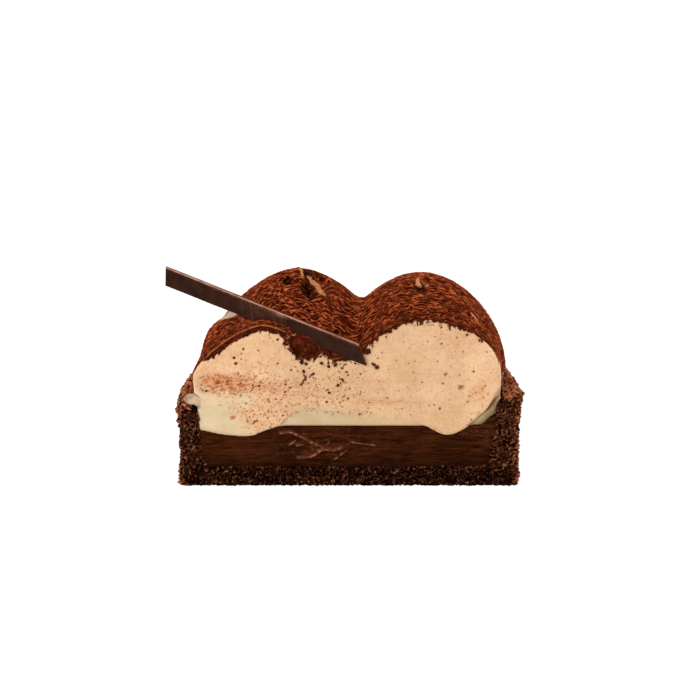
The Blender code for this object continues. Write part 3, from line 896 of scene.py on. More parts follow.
def draw_dust():
    """Cocoa that hangs over the top edge of the cut, with ragged teeth."""
    drawing = Drawing()
    flat = drawing.points
    x = flat[:, 0]
    depth = -dollops_distance(flat)
    front = front_share(x)
    flank = smoothstep((np.abs(x) - 25.5) / 3.5)
    crown = smoothstep((x - 4.0) / 3.0) * smoothstep((25.0 - x) / 3.0)
    reach = 0.3 + 1.1 * front + 0.25 * crown - 0.55 * flank
    ragged = 0.3 * noise(flat, 0.75, 12) + 0.16 * noise(flat, 0.36, 13)
    teeth = 1.3 * np.maximum(0.0, noise(flat, (0.9, 1.0, 1.6), 14) - 0.22)
    drawing.add(smoothstep((reach + (ragged + teeth) * (1.0 - 0.8 * flank) - depth) / 0.14))
    crumbs, own = grains(flat, 0.8, 15)
    sparse = smoothstep((2.6 + 1.2 * front - depth) / 2.4) * (1.0 - 0.4 * flank)
    drawing.add(0.9 * smoothstep((0.3 * own * sparse - crumbs) / 0.06))
    for spot in COCOA_CLODS:
        drawing.blot(*spot, 1.0)
    return drawing.limited()


def draw_rust():
    """Thin smears of cocoa that the knife dragged over the mousse."""
    drawing = Drawing()
    flat = drawing.points
    streaks = smoothstep(0.5 + 1.2 * noise(flat, (1.6, 1.0, 0.55), 16))
    dots, own = grains(flat, 0.62, 17)
    speckled = smoothstep((0.5 * own - dots) / 0.1)
    for x, z, width, height, strength in RUSTY_SMEARS:
        near = np.hypot((flat[:, 0] - x) / width, (flat[:, 2] - z) / height)
        mask = strength * smoothstep((1.35 - near) / 1.1)
        drawing.add(mask * (0.2 + 0.5 * streaks + speckled))
    for x, z, radius in RUSTY_SPOTS:
        drawing.blot(x, z, 0.75 * radius, 0.8, 1.3, 0.5)
    return drawing.limited()


def draw_grey():
    """Dark smears of chocolate in the mousse."""
    drawing = Drawing()
    for x, z, radius in DARK_SMEARS:
        drawing.blot(x, z, radius * 1.1, 0.75, 1.4, 0.9)
    for width, strength, path in CRACKS:
        distance, _ = drawing.distance_to(path)
        drawing.add(strength * smoothstep(1.0 - distance / width))
    ragged = smoothstep(0.8 + 1.4 * noise(drawing.points, 0.6, 18))
    drawing.values *= 1.2 * ragged.reshape(drawing.values.shape)
    return drawing.limited()


pits = draw_pits()
rust = draw_rust()
relief_of_cut = draw_relief(pits)


def softened(points):
    """How round the cut's edges are: crisp at the cocoa, soft where the mousse sags."""
    x, _, z = points.T
    sag = 0.5 * smoothstep((15.6 - z) / 1.8) * smoothstep((x + 19.5) / 2.5)
    return 0.1 + sag + 0.3 * smoothstep((31.0 - z) / 3.0) * smoothstep(z - 20.0)


def lip_distance(points):
    """A bead of cocoa along the front dollop's upper edge."""
    thick = 0.27 * front_share(points[:, 0]) - 0.12 + 0.05 * noise(points, 1.1, 19)
    thick = thick - 0.3 * smoothstep(25.0 - points[:, 2])
    return np.hypot(dollops_distance(points) + 0.06, points[:, 1] - 0.1) - thick


def cut_mousse_distance(points):
    found = mousse_distance(points)
    near = points[:, 1] < 2.0
    cut_off = np.full(len(points), -2.0)
    cut_off[near] = relief_of_cut.read(points[near]) - points[near, 1]
    found = without(found, -cut_off, softened(points))
    found[near] = np.minimum(found[near], lip_distance(points[near]))
    return found


# -------------------- materials


def srgb(red, green, blue):
    """Linear colour of a 0 to 255 one."""
    return tuple(
        c / 12.92 if c <= 0.04045 else ((c + 0.055) / 1.055) ** 2.4
        for c in (red / 255.0, green / 255.0, blue / 255.0)
    )


class Nodes:
    """Short ways to make a material's nodes. Colours are given as 0 to 255."""

    def __init__(self, name):
        self.material = bpy.data.materials.new(name)
        self.material.use_nodes = True
        self.tree = self.material.node_tree
        self.shader = self.tree.nodes["Principled BSDF"]

    def feed(self, socket, value):
        if isinstance(value, bpy.types.NodeSocket):
            self.tree.links.new(value, socket)
        else:
            socket.default_value = value

    def node(self, kind, inputs, **settings):
        made = self.tree.nodes.new("ShaderNode" + kind)
        for key, value in settings.items():
            setattr(made, key, value)
        for key, value in inputs.items():
            self.feed(made.inputs[key], value)
        return made

    def set(self, **values):
        for key, value in values.items():
            self.feed(self.shader.inputs[key.replace("_", " ")], value)

    def place(self):
        return self.node("TexCoord", {}).outputs["Object"]

    def stretched(self, scale):
        return self.node("Mapping", {"Vector": self.place(), "Scale": scale}).outputs[0]

    def noise(self, scale, detail=3.0, roughness=0.5, vector=None, distortion=0.0):
        inputs = {"Scale": scale, "Detail": detail, "Roughness": roughness, "Distortion": distortion}
        return self.node("TexNoise", {"Vector": vector or self.place(), **inputs}).outputs[0]

    def cells(self, scale, output="Distance"):
        return self.node("TexVoronoi", {"Vector": self.place(), "Scale": scale}).outputs[output]

    def flow(self):
        return self.node("Attribute", {}, attribute_name="flow").outputs["Vector"]

    def attribute(self, name):
        return self.node("Attribute", {}, attribute_name=name).outputs["Fac"]

    def math(self, operation, *values):
        return self.node("Math", dict(enumerate(values)), operation=operation).outputs[0]

    def plus(self, first, second):
        return self.math("ADD", first, second)

    def times(self, first, second):
        return self.math("MULTIPLY", first, second)

    def times_plus(self, first, factor, addend):
        return self.math("MULTIPLY_ADD", first, factor, addend)

    def wave(self, flow, sizes, shift=0.0):
        """Noise of -1 to 1, the same as wave() gives for flow / sizes + shift."""
        scale = tuple(1.0 / size for size in sizes)
        inputs = {"Vector": flow, "Scale": scale, "Location": (shift, shift, shift)}
        moved = self.node("Mapping", inputs).outputs[0]
        return self.times_plus(self.noise(1.0, 0.0, 0.5, moved), 2.0, -1.0)

    def strands(self, flow, slant, shift):
        """The same as strands() gives."""
        parts = self.node("SeparateXYZ", {0: flow})
        phase = self.times_plus(parts.outputs["X"], slant, parts.outputs["Y"])
        phase = self.math("DIVIDE", phase, STRAND_SPACING)
        phase = self.times_plus(self.wave(flow, STRAND_BEND, shift), 1.15, phase)
        small = self.wave(flow, [size / 2.1 for size in STRAND_BEND], shift + 7.0)
        phase = self.times_plus(small, 0.4, phase)
        ridge = self.math("COSINE", self.times(phase, 2.0 * math.pi))
        ridge = self.math("POWER", self.times_plus(ridge, 0.5, 0.5), 2.0)
        thick = self.times_plus(self.wave(flow, STRAND_PATCH, shift + 3.0), 0.9, 0.75)
        thick = self.math("MINIMUM", self.math("MAXIMUM", thick, 0.3), 1.05)
        return self.times(ridge, thick)

    def span(self, value, low, high, to_low=0.0, to_high=1.0, smooth=False):
        """Takes low and high to two other values, and whatever lies between them."""
        inputs = {"Value": value, "From Min": low, "From Max": high}
        inputs |= {"To Min": to_low, "To Max": to_high}
        kind = "SMOOTHSTEP" if smooth else "LINEAR"
        return self.node("MapRange", inputs, interpolation_type=kind).outputs[0]

    def ridge(self, wave, width):
        """1 where a noise crosses its middle and 0 away from it."""
        away = self.math("ABSOLUTE", self.math("SUBTRACT", wave, 0.5))
        return self.span(away, 0.0, width, 1.0, 0.0, smooth=True)

    def ramp(self, value, stops):
        made = self.node("ValToRGB", {"Fac": value})
        elements = made.color_ramp.elements
        for place, _ in stops[2:]:
            elements.new(place)
        for element, (place, colour) in zip(elements, stops):
            element.position = place
            element.color = (*srgb(*colour), 1.0)
        return made.outputs[0]

    def mix(self, share, *colours):
        made = self.node("Mix", {0: share}, data_type="RGBA")
        for socket, colour in zip(made.inputs[6:8], colours):
            socket_given = isinstance(colour, bpy.types.NodeSocket)
            self.feed(socket, colour if socket_given else (*srgb(*colour), 1.0))
        return made.outputs[2]

    def layers(self, colour, *layers):
        """Lays colours over a first one, each given after its share."""
        for share, top in layers:
            colour = self.mix(share, colour, top)
        return colour

    def bump(self, height, distance, strength=1.0, **under):
        inputs = {"Height": height, "Distance": distance, "Strength": strength, **under}
        return self.node("Bump", inputs).outputs[0]


def crumb_colours(n, light):
    """Colours of crumbs by their height, with near-black painted shade in the gaps and partly painted
    light on the tops, and the height.
    """
    flow = n.flow()
    blobs = n.times_plus(n.wave(flow, (CRUMB_SIZE,) * 3), 1.2, 0.5)
    blobs = n.times_plus(n.wave(flow, (CRUMB_SIZE / 2.1,) * 3, 9.0), 0.4, blobs)
    web = n.span(n.math("ABSOLUTE", n.wave(flow, (CRUMB_WEB,) * 3, 20.0)), 0.0, 0.22, 1.0, 0.0)
    height = n.plus(n.times(blobs, 0.6), n.times(web, 0.4))
    tint = n.plus(n.plus(height, light), n.span(n.noise(4200.0, 2.0), 0.3, 0.7, -0.1, 0.1))
    return n.mix(n.attribute("baked"), n.ramp(tint, CRUMB_STOPS), n.ramp(tint, BAKED_STOPS)), height


def crust_look():
    n = Nodes("crust_crumb")
    # The tone holds painted shade low on the cut and painted light on the rim's top, besides random
    # tone
    colour, height = crumb_colours(n, n.attribute("light"))
    n.set(Base_Color=colour, Roughness=0.95, Specular_IOR_Level=0.03, Normal=n.bump(height, 0.0004))
    return n.material


def crumb_look():
    n = Nodes("crust_crumbs")
    colour, height = crumb_colours(n, n.span(n.attribute("shade"), 0.0, 1.0, 0.05, 0.4))
    n.set(Base_Color=colour, Roughness=0.95, Specular_IOR_Level=0.04, Normal=n.bump(height, 0.0003))
    return n.material


def ganache_look():
    n = Nodes("ganache_satin")
    wavy = n.noise(1.0, 5.0, 0.65, n.stretched((150.0, 150.0, 1300.0)), 0.9)
    lines = n.ridge(n.noise(1.0, 3.0, 0.6, n.stretched((120.0, 120.0, 1500.0)), 0.7), 0.03)
    colour = n.layers(
        n.mix(n.span(wavy, 0.38, 0.62), (32, 9, 0), (74, 31, 6)),
        (n.times(lines, 0.4), (104, 52, 22)),
        (n.span(n.noise(120.0), 0.4, 0.7, 0.0, 0.5), (38, 11, 0)),
        (n.attribute("low"), (28, 8, 0)),
        # painted shade under the folds
        (n.attribute("under"), (22, 5, 0)),
        (n.attribute("body"), (96, 46, 20)),
        # painted highlight on the folds' crests
        (n.attribute("raised"), (176, 116, 90)),
    )
    n.set(Base_Color=colour, Roughness=n.span(wavy, 0.3, 0.8, 0.2, 0.32), Specular_IOR_Level=0.12)
    n.set(Normal=n.bump(wavy, 0.00025, 0.8))
    return n.material


def cut_colours(n, creamy):
    """Mousse colour that turns to cream colour by a share, and the marks on both."""
    busy = n.times(n.attribute("busy"), n.math("SUBTRACT", 1.0, creamy))
    soft, grain, foam = n.noise(170.0, 5.0, 0.6), n.noise(2300.0, 3.0, 0.7), n.noise(900.0, 4.0, 0.65)
    lines = n.ridge(n.noise(560.0, 2.0, 0.5, None, 1.6), 0.03)
    picked = n.math("GREATER_THAN", n.cells(1250.0, "Color"), 0.55)
    dots = n.times(n.span(n.cells(1250.0), 0.22, 0.1), picked)
    mousse = n.layers(
        n.mix(n.span(soft, 0.35, 0.68), MOUSSE_PALE, MOUSSE_DEEP),
        (n.span(n.noise(75.0, 2.0), 0.42, 0.62, 0.0, 0.55), MOUSSE_YELLOW),
        (n.span(foam, 0.36, 0.56, 0.22, 0.0), (192, 130, 84)),
        (n.span(grain, 0.46, 0.66, 0.0, 0.25), (252, 220, 184)),
        (n.span(grain, 0.34, 0.46, 0.22, 0.0), (192, 132, 88)),
        (n.times(lines, n.span(busy, 0.0, 1.0, 0.06, 0.42)), (176, 116, 78)),
        (n.times(dots, n.span(busy, 0.0, 1.0, 0.3, 0.6)), (146, 84, 50)),
    )
    pit = n.attribute("pit")
    colour = n.layers(
        mousse,
        (creamy, n.mix(n.span(soft, 0.35, 0.7), CREAM_PALE, CREAM_DEEP)),
        # painted shade, greenish brown, where the cream meets the ganache, beside the left lump and on
        # the right roll
        (n.attribute("olive"), (122, 92, 48)),
        (n.attribute("rust"), (188, 104, 44)),
        # pits: reddish specks of cocoa, near-black where strongest as painted shade in the holes
        (n.span(pit, 0.0, 0.8), n.mix(n.span(pit, 0.65, 1.0), (152, 68, 30), (58, 20, 10))),
    )
    return colour, n.plus(n.times(foam, 0.5), n.times(grain, 0.5))


def cocoa_colours(n, height):
    """From the dark of a gap in the powder, which is painted shade, to the light of a strand, which is
    partly painted light.
    """
    broad = n.span(n.noise(170.0), 0.45, 0.7, 0.0, 0.25)
    return n.mix(broad, n.ramp(height, COCOA_STOPS), (78, 25, 7))


def cut_look(name):
    """Mousse and cream as the cut shows them, with the cocoa that was dragged over them."""
    n = Nodes(name)
    grey, dust, creamy = n.attribute("grey"), n.attribute("dust"), n.attribute("creamy")
    colour, height = cut_colours(n, creamy)
    powder = n.span(n.noise(1300.0, 3.0, 0.65), 0.3, 0.72, 0.0, 0.62)
    smear = n.mix(n.span(n.noise(380.0, 3.0, 0.55), 0.38, 0.6), (134, 98, 84), (208, 178, 150))
    colour = n.layers(
        colour,
        (n.span(grey, 0.05, 0.45, 0.0, 0.35), (176, 128, 104)),
        (n.span(grey, 0.35, 0.8, 0.0, 0.92), (64, 24, 15)),
        (dust, cocoa_colours(n, powder)),
        # painted highlight along the front dollop's upper edge
        (n.attribute("lip"), COCOA_LIP),
        (n.attribute("smeared"), smear),
    )
    bare = n.math("SUBTRACT", 1.0, n.span(dust, 0.0, 0.6))
    n.set(Base_Color=colour, Roughness=n.span(creamy, 0.0, 1.0, 0.7, 0.45))
    n.set(Subsurface_Weight=n.times(bare, n.span(creamy, 0.0, 1.0, 0.12, 0.2)))
    n.set(Subsurface_Scale=n.span(creamy, 0.0, 1.0, 0.0006, 0.001), Subsurface_Radius=(1.0, 0.65, 0.38))
    n.set(Specular_IOR_Level=n.times_plus(bare, n.span(creamy, 0.0, 1.0, 0.18, 0.33), 0.02))
    n.set(Normal=n.bump(height, 0.00016, 0.7))
    return n.material


def cocoa_look():
    n = Nodes("cocoa_powder")
    flow, smooth, bare = n.flow(), n.attribute("smooth"), n.attribute("bare")
    sets = n.strands(flow, STRAND_SLANT, 0.0), n.strands(flow, -STRAND_SLANT, 11.0)
    height = n.times_plus(n.math("MINIMUM", *sets), 0.35, n.math("MAXIMUM", *sets))
    height = n.times_plus(height, 0.8, 0.08)
    height = n.times_plus(n.wave(flow, (0.32,) * 3), 0.25, height)
    plain = n.span(n.noise(1500.0, 3.0, 0.65), 0.3, 0.7, 0.1, 0.6)
    height = n.times_plus(smooth, plain, n.times(height, n.math("SUBTRACT", 1.0, smooth)))
    colour = n.layers(
        cocoa_colours(n, height),
        # painted shade in the craters and dents, along the cut and on the pressed lumps
        (n.attribute("sunk"), (34, 8, 1)),
        # painted highlight along the front dollop's upper edge
        (n.attribute("lip"), COCOA_LIP),
        (n.attribute("tan"), (214, 146, 98)),
        # undusted mousse; its whiter stop is partly painted light, for the bright line along the flanks
        (bare, n.mix(n.noise(700.0), (250, 228, 204), (224, 186, 150))),
    )
    grit = n.bump(n.noise(3600.0, 3.0, 0.7), 0.00008, 0.5)
    relief = n.times(height, n.times_plus(bare, -0.8, 1.0))
    n.set(Base_Color=colour, Roughness=0.95, Specular_IOR_Level=0.04)
    n.set(Normal=n.bump(relief, 0.00016, 1.0, Normal=grit))
    return n.material


def clod_look():
    n = Nodes("cocoa_clods")
    colour = n.mix(n.attribute("shade"), (46, 16, 6), (104, 48, 24))
    n.set(Base_Color=colour, Roughness=0.95, Specular_IOR_Level=0.05)
    n.set(Normal=n.bump(n.noise(3600.0, 3.0, 0.7), 0.00015, 0.7))
    return n.material


def stick_look():
    n = Nodes("dark_chocolate")
    fine = n.noise(500.0, 4.0, 0.6)
    along = n.node("CombineXYZ", {"X": n.attribute("along")}).outputs[0]
    lines = n.times(n.ridge(n.noise(3200.0, 2.0, 0.6, along), 0.05), n.attribute("scratched"))
    colour = n.layers(
        n.mix(n.span(fine, 0.3, 0.8), (46, 23, 12), (64, 35, 21)),
        (n.times(lines, 0.3), (150, 96, 70)),
        # the top face lighter as painted light, and the ends and a fringe under the top edge
        (n.attribute("side"), (116, 62, 40)),
        # painted highlight along the top edge and on the chip
        (n.attribute("worn"), (206, 156, 136)),
    )
    n.set(Base_Color=colour, Roughness=n.span(fine, 0.3, 0.8, 0.26, 0.4), Specular_IOR_Level=0.25)
    n.set(Normal=n.bump(fine, 0.00005, 0.3))
    return n.material


# -------------------- the pieces


def lumps(name, places, sizes, seed):
    """Many small uneven lumps in one mesh, and a number from 0 to 1 for each one's points."""
    ball = bmesh.new()
    bmesh.ops.create_icosphere(ball, subdivisions=1, radius=1.0)
    ways = np.array([vertex.co[:] for vertex in ball.verts])
    ball_faces = np.array([[vertex.index for vertex in face.verts] for face in ball.faces])
    ball.free()
    rng = np.random.default_rng(seed)
    count, corners = len(places), len(ways)
    spin = np.linalg.qr(rng.normal(size=(count, 3, 3)))[0]
    shape = ways[None] * rng.uniform(0.5, 1.35, (count, 1, 3))
    bulges = noise((ways[None] * 0.8 + rng.uniform(0, 90, (count, 1, 3))).reshape(-1, 3), 0.9, seed)
    shape = shape * (1.0 + 0.45 * bulges.reshape(count, corners, 1))
    points = np.einsum("nij,nkj->nki", spin, shape) * np.asarray(sizes)[:, None, None]
    points += np.asarray(places)[:, None, :]
    faces = ball_faces[None] + np.arange(count)[:, None, None] * corners
    obj = object_from(name, points.reshape(-1, 3), [faces.reshape(-1, 3)])
    give(obj, shade=np.repeat(rng.random(count), corners))
    return obj


def crumb_flow(points):
    """Points pushed about, so that the pattern of the crumbs is uneven."""
    return points + CRUMB_PUSH * push(points, 0.9, (24, 25, 26))


def crumb_height(flow):
    """Crumbs and short strands: 1 on top of them and 0 in the gaps between them."""
    blobs = 0.5 + 1.2 * wave(flow / CRUMB_SIZE) + 0.4 * wave(flow / CRUMB_SIZE * 2.1 + 9.0)
    web = clipped(1.0 - np.abs(wave(flow / CRUMB_WEB + 20.0)) / 0.22)
    return clipped(0.6 * blobs + 0.4 * web)


def crumb_relief(points):
    """How far crumbs stand out of the crust."""
    crumbs = CRUMB_RELIEF * (crumb_height(crumb_flow(points)) - CRUMB_LEVEL)
    return crumbs + 0.16 * noise(points, 2.6, 23)


def ring(angles, radius, z):
    z = np.broadcast_to(z, angles.shape)
    return np.stack([radius * np.cos(angles), radius * np.sin(angles), z], axis=1)


def floor_corner(angles, turns):
    """Rings round the corner between the wall's inner face and the floor."""
    rings = []
    for turn in turns:
        z = FLOOR_HEIGHT + FLOOR_FILLET * (1.0 - math.sin(turn))
        radius = inner_radius(angles, z) - FLOOR_FILLET * (1.0 - math.cos(turn))
        rings.append(ring(angles, radius, z))
    return rings


def crust_rings(angles):
    """Rings from the underside up the outside, over the rim and down to the floor, and which of
    them are rough."""
    rim, outer, inner = rim_height(angles), outer_radius(angles), inner_radius(angles, RIM_HEIGHT)
    outer_round, inner_round = RIM_ROUNDING
    quarter = math.pi / 2.0
    places = [(outer - 0.5, 0.0), (outer - 0.1, 0.25)]
    rough_from = len(places)
    for share in np.linspace(0.015, 1.0, 84):
        waist = WALL_WAIST * math.sin(math.pi * share**1.5)
        places.append((outer - waist, 0.25 + (rim - 1.9) * share))
    for turn in np.linspace(0.0, quarter, 9)[1:]:
        height = rim - 1.5 + outer_round * math.sin(turn)
        places.append((outer - outer_round * (1.0 - math.cos(turn)), height))
    for share in np.linspace(0.0, 1.0, 12)[1:-1]:
        radius = outer - outer_round + (inner + inner_round - outer + outer_round) * share
        places.append((radius, rim_surface(angles, radius)))
    for turn in np.linspace(0.0, quarter, 7):
        height = rim - RIM_FALL_INWARDS - 1.1 + inner_round * math.cos(turn)
        places.append((inner + inner_round - inner_round * math.sin(turn), height))
    for drop in (2.7, 3.1, 3.6, 4.2):
        places.append((inner_radius(angles, rim - drop), rim - drop))
    rough_to = len(places)
    for z in (16.0, 14.0, 11.0, FLOOR_HEIGHT + FLOOR_FILLET):
        places.append((inner_radius(angles, z), z))
    rings = [ring(angles, radius, z) for radius, z in places]
    return rings + floor_corner(angles, np.linspace(0.0, quarter, 6)[1:]), rough_from, rough_to


def crust():
    """Turned shell: rough and finely meshed outside and on its rim, plain where it is full."""
    fine, coarse = (
        np.linspace(math.radians(start), math.radians(end), count)
        for start, end, count in (CRUST_FINE, CRUST_COARSE)
    )
    angles = np.concatenate([fine, coarse[1:-1]])
    rings, rough_from, rough_to = crust_rings(angles)
    bottom, top = (0.0, CRUST_MIDDLE_Y, 0.0), (0.0, CRUST_MIDDLE_Y, FLOOR_HEIGHT)
    obj = lathe("crust_shell", bottom, rings, top)
    points, normals = points_of(obj), normals_of(obj)
    row = (np.arange(len(points)) - 1) // len(angles)
    rough = ((row >= rough_from) & (row < rough_to)).astype(float)
    settled = smoothstep(points[:, 2] / 1.0)
    points += normals * ((crumb_relief(points) - 0.14) * rough * settled)[:, None]
    points[:, 2] = np.maximum(points[:, 2], 0.0)
    move_points(obj, points)
    cut(obj, knife("crust_knife", *CRUST_KNIFE, lambda p: -crumb_relief(p)))
    points, normals = points_of(obj), normals_of(obj)
    x, y, z = points.T
    radius = np.hypot(x, y)
    # Painted shade: the cut's low front, by the floor, gets a darker tone
    high = 1.0 - smoothstep((5.5 - z) / 2.0) * (y < 0.6)
    outside = smoothstep((radius - OUTER_RADIUS + WALL_WAIST + 0.8) / 0.5)
    rim_top = smoothstep((1.0 - rim_surface(np.arctan2(y, x), radius) + z) / 0.7)
    # Painted light on the rim's top, more of it at the right; the rest of the tone is random
    light = 0.01 + 0.16 * high + (0.12 + 0.06 * (x > 0.0)) * rim_top + 0.1 * noise(points, 3.0, 28)
    # The outside and the rim's top take the lighter, redder stops: painted light on the rim's top,
    # partly painted light on the outside
    give(obj, light=light, baked=np.maximum(0.85 * outside, rim_top))
    give_flow(obj, crumb_flow(points))
    crust_crumbs(points, normals)
    finish_piece(obj, "crust", crust_look())


def crust_crumbs(points, normals):
    """Loose-looking crumbs that stand out of the crust's cut, outside and rim."""
    rng = np.random.default_rng(31)
    x, y, z = points.T
    radius = np.hypot(x, y)
    outside = radius > OUTER_RADIUS - 1.0
    rim = z > RIM_HEIGHT - 1.0
    shown = (((y < 0.5) & (radius > 2.0)) | outside | rim) & (z > 0.5)
    share = shown * (1.0 + 5.0 * (outside & (y < 2.5)) + 2.0 * rim)
    chosen = rng.choice(len(points), LOOSE_CRUMBS, replace=False, p=share / share.sum())
    sizes = 0.12 + 0.26 * rng.random(len(chosen)) ** 2.0
    places = points[chosen] + normals[chosen] * 0.15 * sizes[:, None]
    obj = lumps("crust_crumbs", places, sizes, 32)
    at = points_of(obj)
    outer = smoothstep((np.hypot(at[:, 0], at[:, 1]) - OUTER_RADIUS + 0.8) / 0.6)
    top = smoothstep((at[:, 2] - RIM_HEIGHT + 1.5) / 0.8)
    # Crumbs on the outside and the rim's top take the same partly painted light stops
    give(obj, baked=0.7 * np.maximum(outer, top))
    give_flow(obj, at)
    finish_piece(obj, "crust", crumb_look())


def draw_folds():
    """Folds that the knife pushed up in the ganache: their height, a painted highlight along their
    crests and painted shade under each."""
    height, crest, under = Drawing(), Drawing(), Drawing()
    flat = height.points
    for i, path in enumerate(GANACHE_FOLDS):
        distance, above = height.distance_to(path)
        distance = distance + 0.22 * np.abs(noise(flat, (1.3, 1.0, 0.9), 60 + i))
        main = 1.0 if i < 3 else 0.6
        height.add(FOLD_HEIGHT * main * np.exp(-((distance / (0.4 * main)) ** 2)))
        # Painted highlight along each fold's crest
        crest.add(main * smoothstep(1.5 - distance / 0.18))
        # Painted shade under each fold
        under.add(main * (above < 0.0) * np.exp(-(((distance - 0.42) / 0.32) ** 2)))
    x, _, z = flat.T
    patch = hump(x, z, -6.0, 9.8, 9.0, 3.4)
    bent = flat + 0.8 * noise(flat, 2.0, 70)[:, None]
    height.add(0.16 * patch * threads(bent, (4.2, 2.0, 1.1), 0.2, 71))
    crest.add(0.4 * patch * threads(bent, (4.2, 2.0, 1.1), 0.09, 71))
    by_wall = hump(x, z, 26.5, 12.2, 3.2, 2.0)
    height.add(0.12 * by_wall * threads(bent, (1.9, 1.0, 0.8), 0.2, 72))
    crest.add(0.3 * by_wall * threads(bent, (1.9, 1.0, 0.8), 0.12, 72))
    return height, crest, under


def ganache_body():
    """The filling from the shell's floor to its top, out to the wall's inner face."""
    angles = np.linspace(0.0, 2.0 * math.pi, GANACHE_POINTS_ROUND, endpoint=False) + 0.013

    def over(share):
        radius = inner_radius(angles, GANACHE_HEIGHT) * share
        x, y = radius * np.cos(angles), radius * np.sin(angles) + GANACHE_MIDDLE_Y * (1.0 - share)
        return np.stack([x, y, ganache_top(x, y)], axis=1)

    rings = floor_corner(angles, np.linspace(math.pi / 2.0, 0.0, 7))
    rings.append(ring(angles, inner_radius(angles, 10.0), 10.0))
    height = over(1.0)[:, 2]
    rings.append(ring(angles, inner_radius(angles, height), height))
    rings += [over(share) for share in np.linspace(0.0, 1.0, 26)[-2:0:-1]]
    middle_height = float(ganache_top(np.array([0.0]), np.array([GANACHE_MIDDLE_Y]))[0])
    bottom, top = (0.0, GANACHE_MIDDLE_Y, FLOOR_HEIGHT), (0.0, GANACHE_MIDDLE_Y, middle_height)
    return lathe("ganache_filling", bottom, rings, top)


def ganache():
    obj = ganache_body()
    height, crest, under = draw_folds()

    def relief(points):
        bent = points + 0.5 * noise(points, (5.0, 5.0, 2.0), 35)[:, None] * [0.0, 0.0, 1.0]
        sizes = np.array((9.0, 5.0, 0.8))
        drag = sum(0.5**i * noise(bent, sizes * 0.5**i, 33 + 7 * i) for i in range(3))
        return 0.1 + 0.05 * drag + 0.05 * noise(points, (9.0, 5.0, 5.0), 34) - height.read(points)

    cut(obj, knife("ganache_knife", *GANACHE_KNIFE, relief))
    points = points_of(obj)
    shown = (points[:, 1] < 1.0).astype(float)
    uneven = clipped(0.45 + 1.2 * noise(points, 0.9, 36))
    give(
        obj,
        # painted highlight on the folds' crests, and painted shade under them
        raised=np.clip(0.75 * crest.read(points) * uneven * shown, 0.0, 0.75),
        body=clipped(height.read(points) / FOLD_HEIGHT) * shown,
        under=np.clip(0.9 * under.read(points) * shown, 0.0, 0.9),
        low=0.55 * smoothstep((9.0 - points[:, 2]) / 5.0),
    )
    finish_piece(obj, "ganache", ganache_look())


def cream_distance(points):
    x, y, z = points.T
    found = cream_share_distance(points)
    found = np.maximum(found, (ganache_top(x, y) - z - 0.05) * 0.9)
    found = np.maximum(found, np.hypot(x, y) - inner_radius(np.arctan2(y, x), z) - 0.05)
    right = smoothstep((x - 22.5) / 2.5)
    bulge = hump(x, z, 27.0, 16.9, 2.2, 1.4)
    cut_off = relief_of_cut.read(points) - 0.01 - 0.55 * bulge + 0.2 * right - y
    soft = 0.08 + 0.45 * smoothstep((15.2 - z) / 1.2) * (1.0 - right) * smoothstep((x + 19.0) / 3.0)
    found = without(found, -cut_off, soft + 0.6 * right)
    ragged = 0.22 * noise(points, (1.6, 0.8, 1.0), 58) + 0.07 * noise(points, 0.4, 59)
    return blend(found, ellipsoid_distance(points, RIM_SMEAR) + ragged, 0.4)


def cream_share(points):
    """1 where the cut shows cream and 0 where it shows mousse, with soft borders."""
    x = points[:, 0]
    inside = -cream_share_distance(points)
    by_lump = np.min([np.abs(lump_distance(points, lump)) for lump in LUMPS], axis=0)
    left = smoothstep((-16.5 - x) / 4.0)
    soft = 0.25 + 1.0 * smoothstep(by_lump / 2.5)
    soft = soft + (2.6 - soft) * left
    inside = inside + 2.3 * left
    bent = points + 0.9 * noise(points, 2.2, 51)[:, None]
    swirl = noise(bent, (2.8, 2.0, 1.3), 52) + 0.5 * noise(bent, (1.2, 1.0, 0.6), 55)
    smear = near_spot(points, (-31.5, 0.2, 20.8), (3.5, 2.0, 2.0))
    share = np.maximum(smoothstep(0.5 + (inside + soft * swirl) / (2.0 * soft)), smear)
    middle = smoothstep((x + 17.5) / 4.0) * smoothstep((22.5 - x) / 2.0)
    return share * (1.0 - 0.1 * middle - 0.4 * smoothstep((x + 4.0) / 10.0) * middle)


def olive_share(points):
    """Shading of the cream where it meets the ganache, beside the left lump of mousse, and at its
    roll at the right end."""
    x = points[:, 0]
    over = points[:, 2] - ganache_top(x, points[:, 1])
    from_mousse = cream_share_distance(points)
    edge = np.minimum(over, 0.7 - 1.4 * from_mousse)
    right = smoothstep((x - 22.0) / 3.0)
    roll = right * (0.35 + 0.4 * smoothstep((x - 24.5) / 4.0)) * (from_mousse < 0.4)
    roll = roll + 0.45 * right * smoothstep((1.9 - edge) / 2.0) * (from_mousse < 0.4)
    middle = smoothstep((x + 17.0) / 5.0) * (1.0 - right)
    foot = (0.35 + 0.2 * middle) * smoothstep((0.9 - over) / 1.0) + 0.28 * middle
    beside = smoothstep((x + 17.0) / 1.5) * smoothstep((-10.0 - x) / 2.0)
    beside = 0.8 * beside * np.exp(-((from_mousse / 0.22) ** 2))
    shade = np.max([foot, np.minimum(roll, 0.85), beside], axis=0) * (over > -1.0)
    return shade * (0.4 + 0.6 * cream_share(points))


def cream():
    obj = skin("cream_layer", cream_distance, *CREAM_BOX, CREAM_STEP)
    points = points_of(obj)
    x, y, z = points.T
    give(
        obj,
        creamy=cream_share(points),
        olive=olive_share(points),
        rust=rust.read(points),
        pit=pits.read(points) * (y < MARKS_DEPTH),
        smeared=0.9 * smoothstep((-29.4 - x) / 1.2) * (z > 18.0),
    )
    finish_piece(obj, "cream", cut_look("vanilla_cream"))


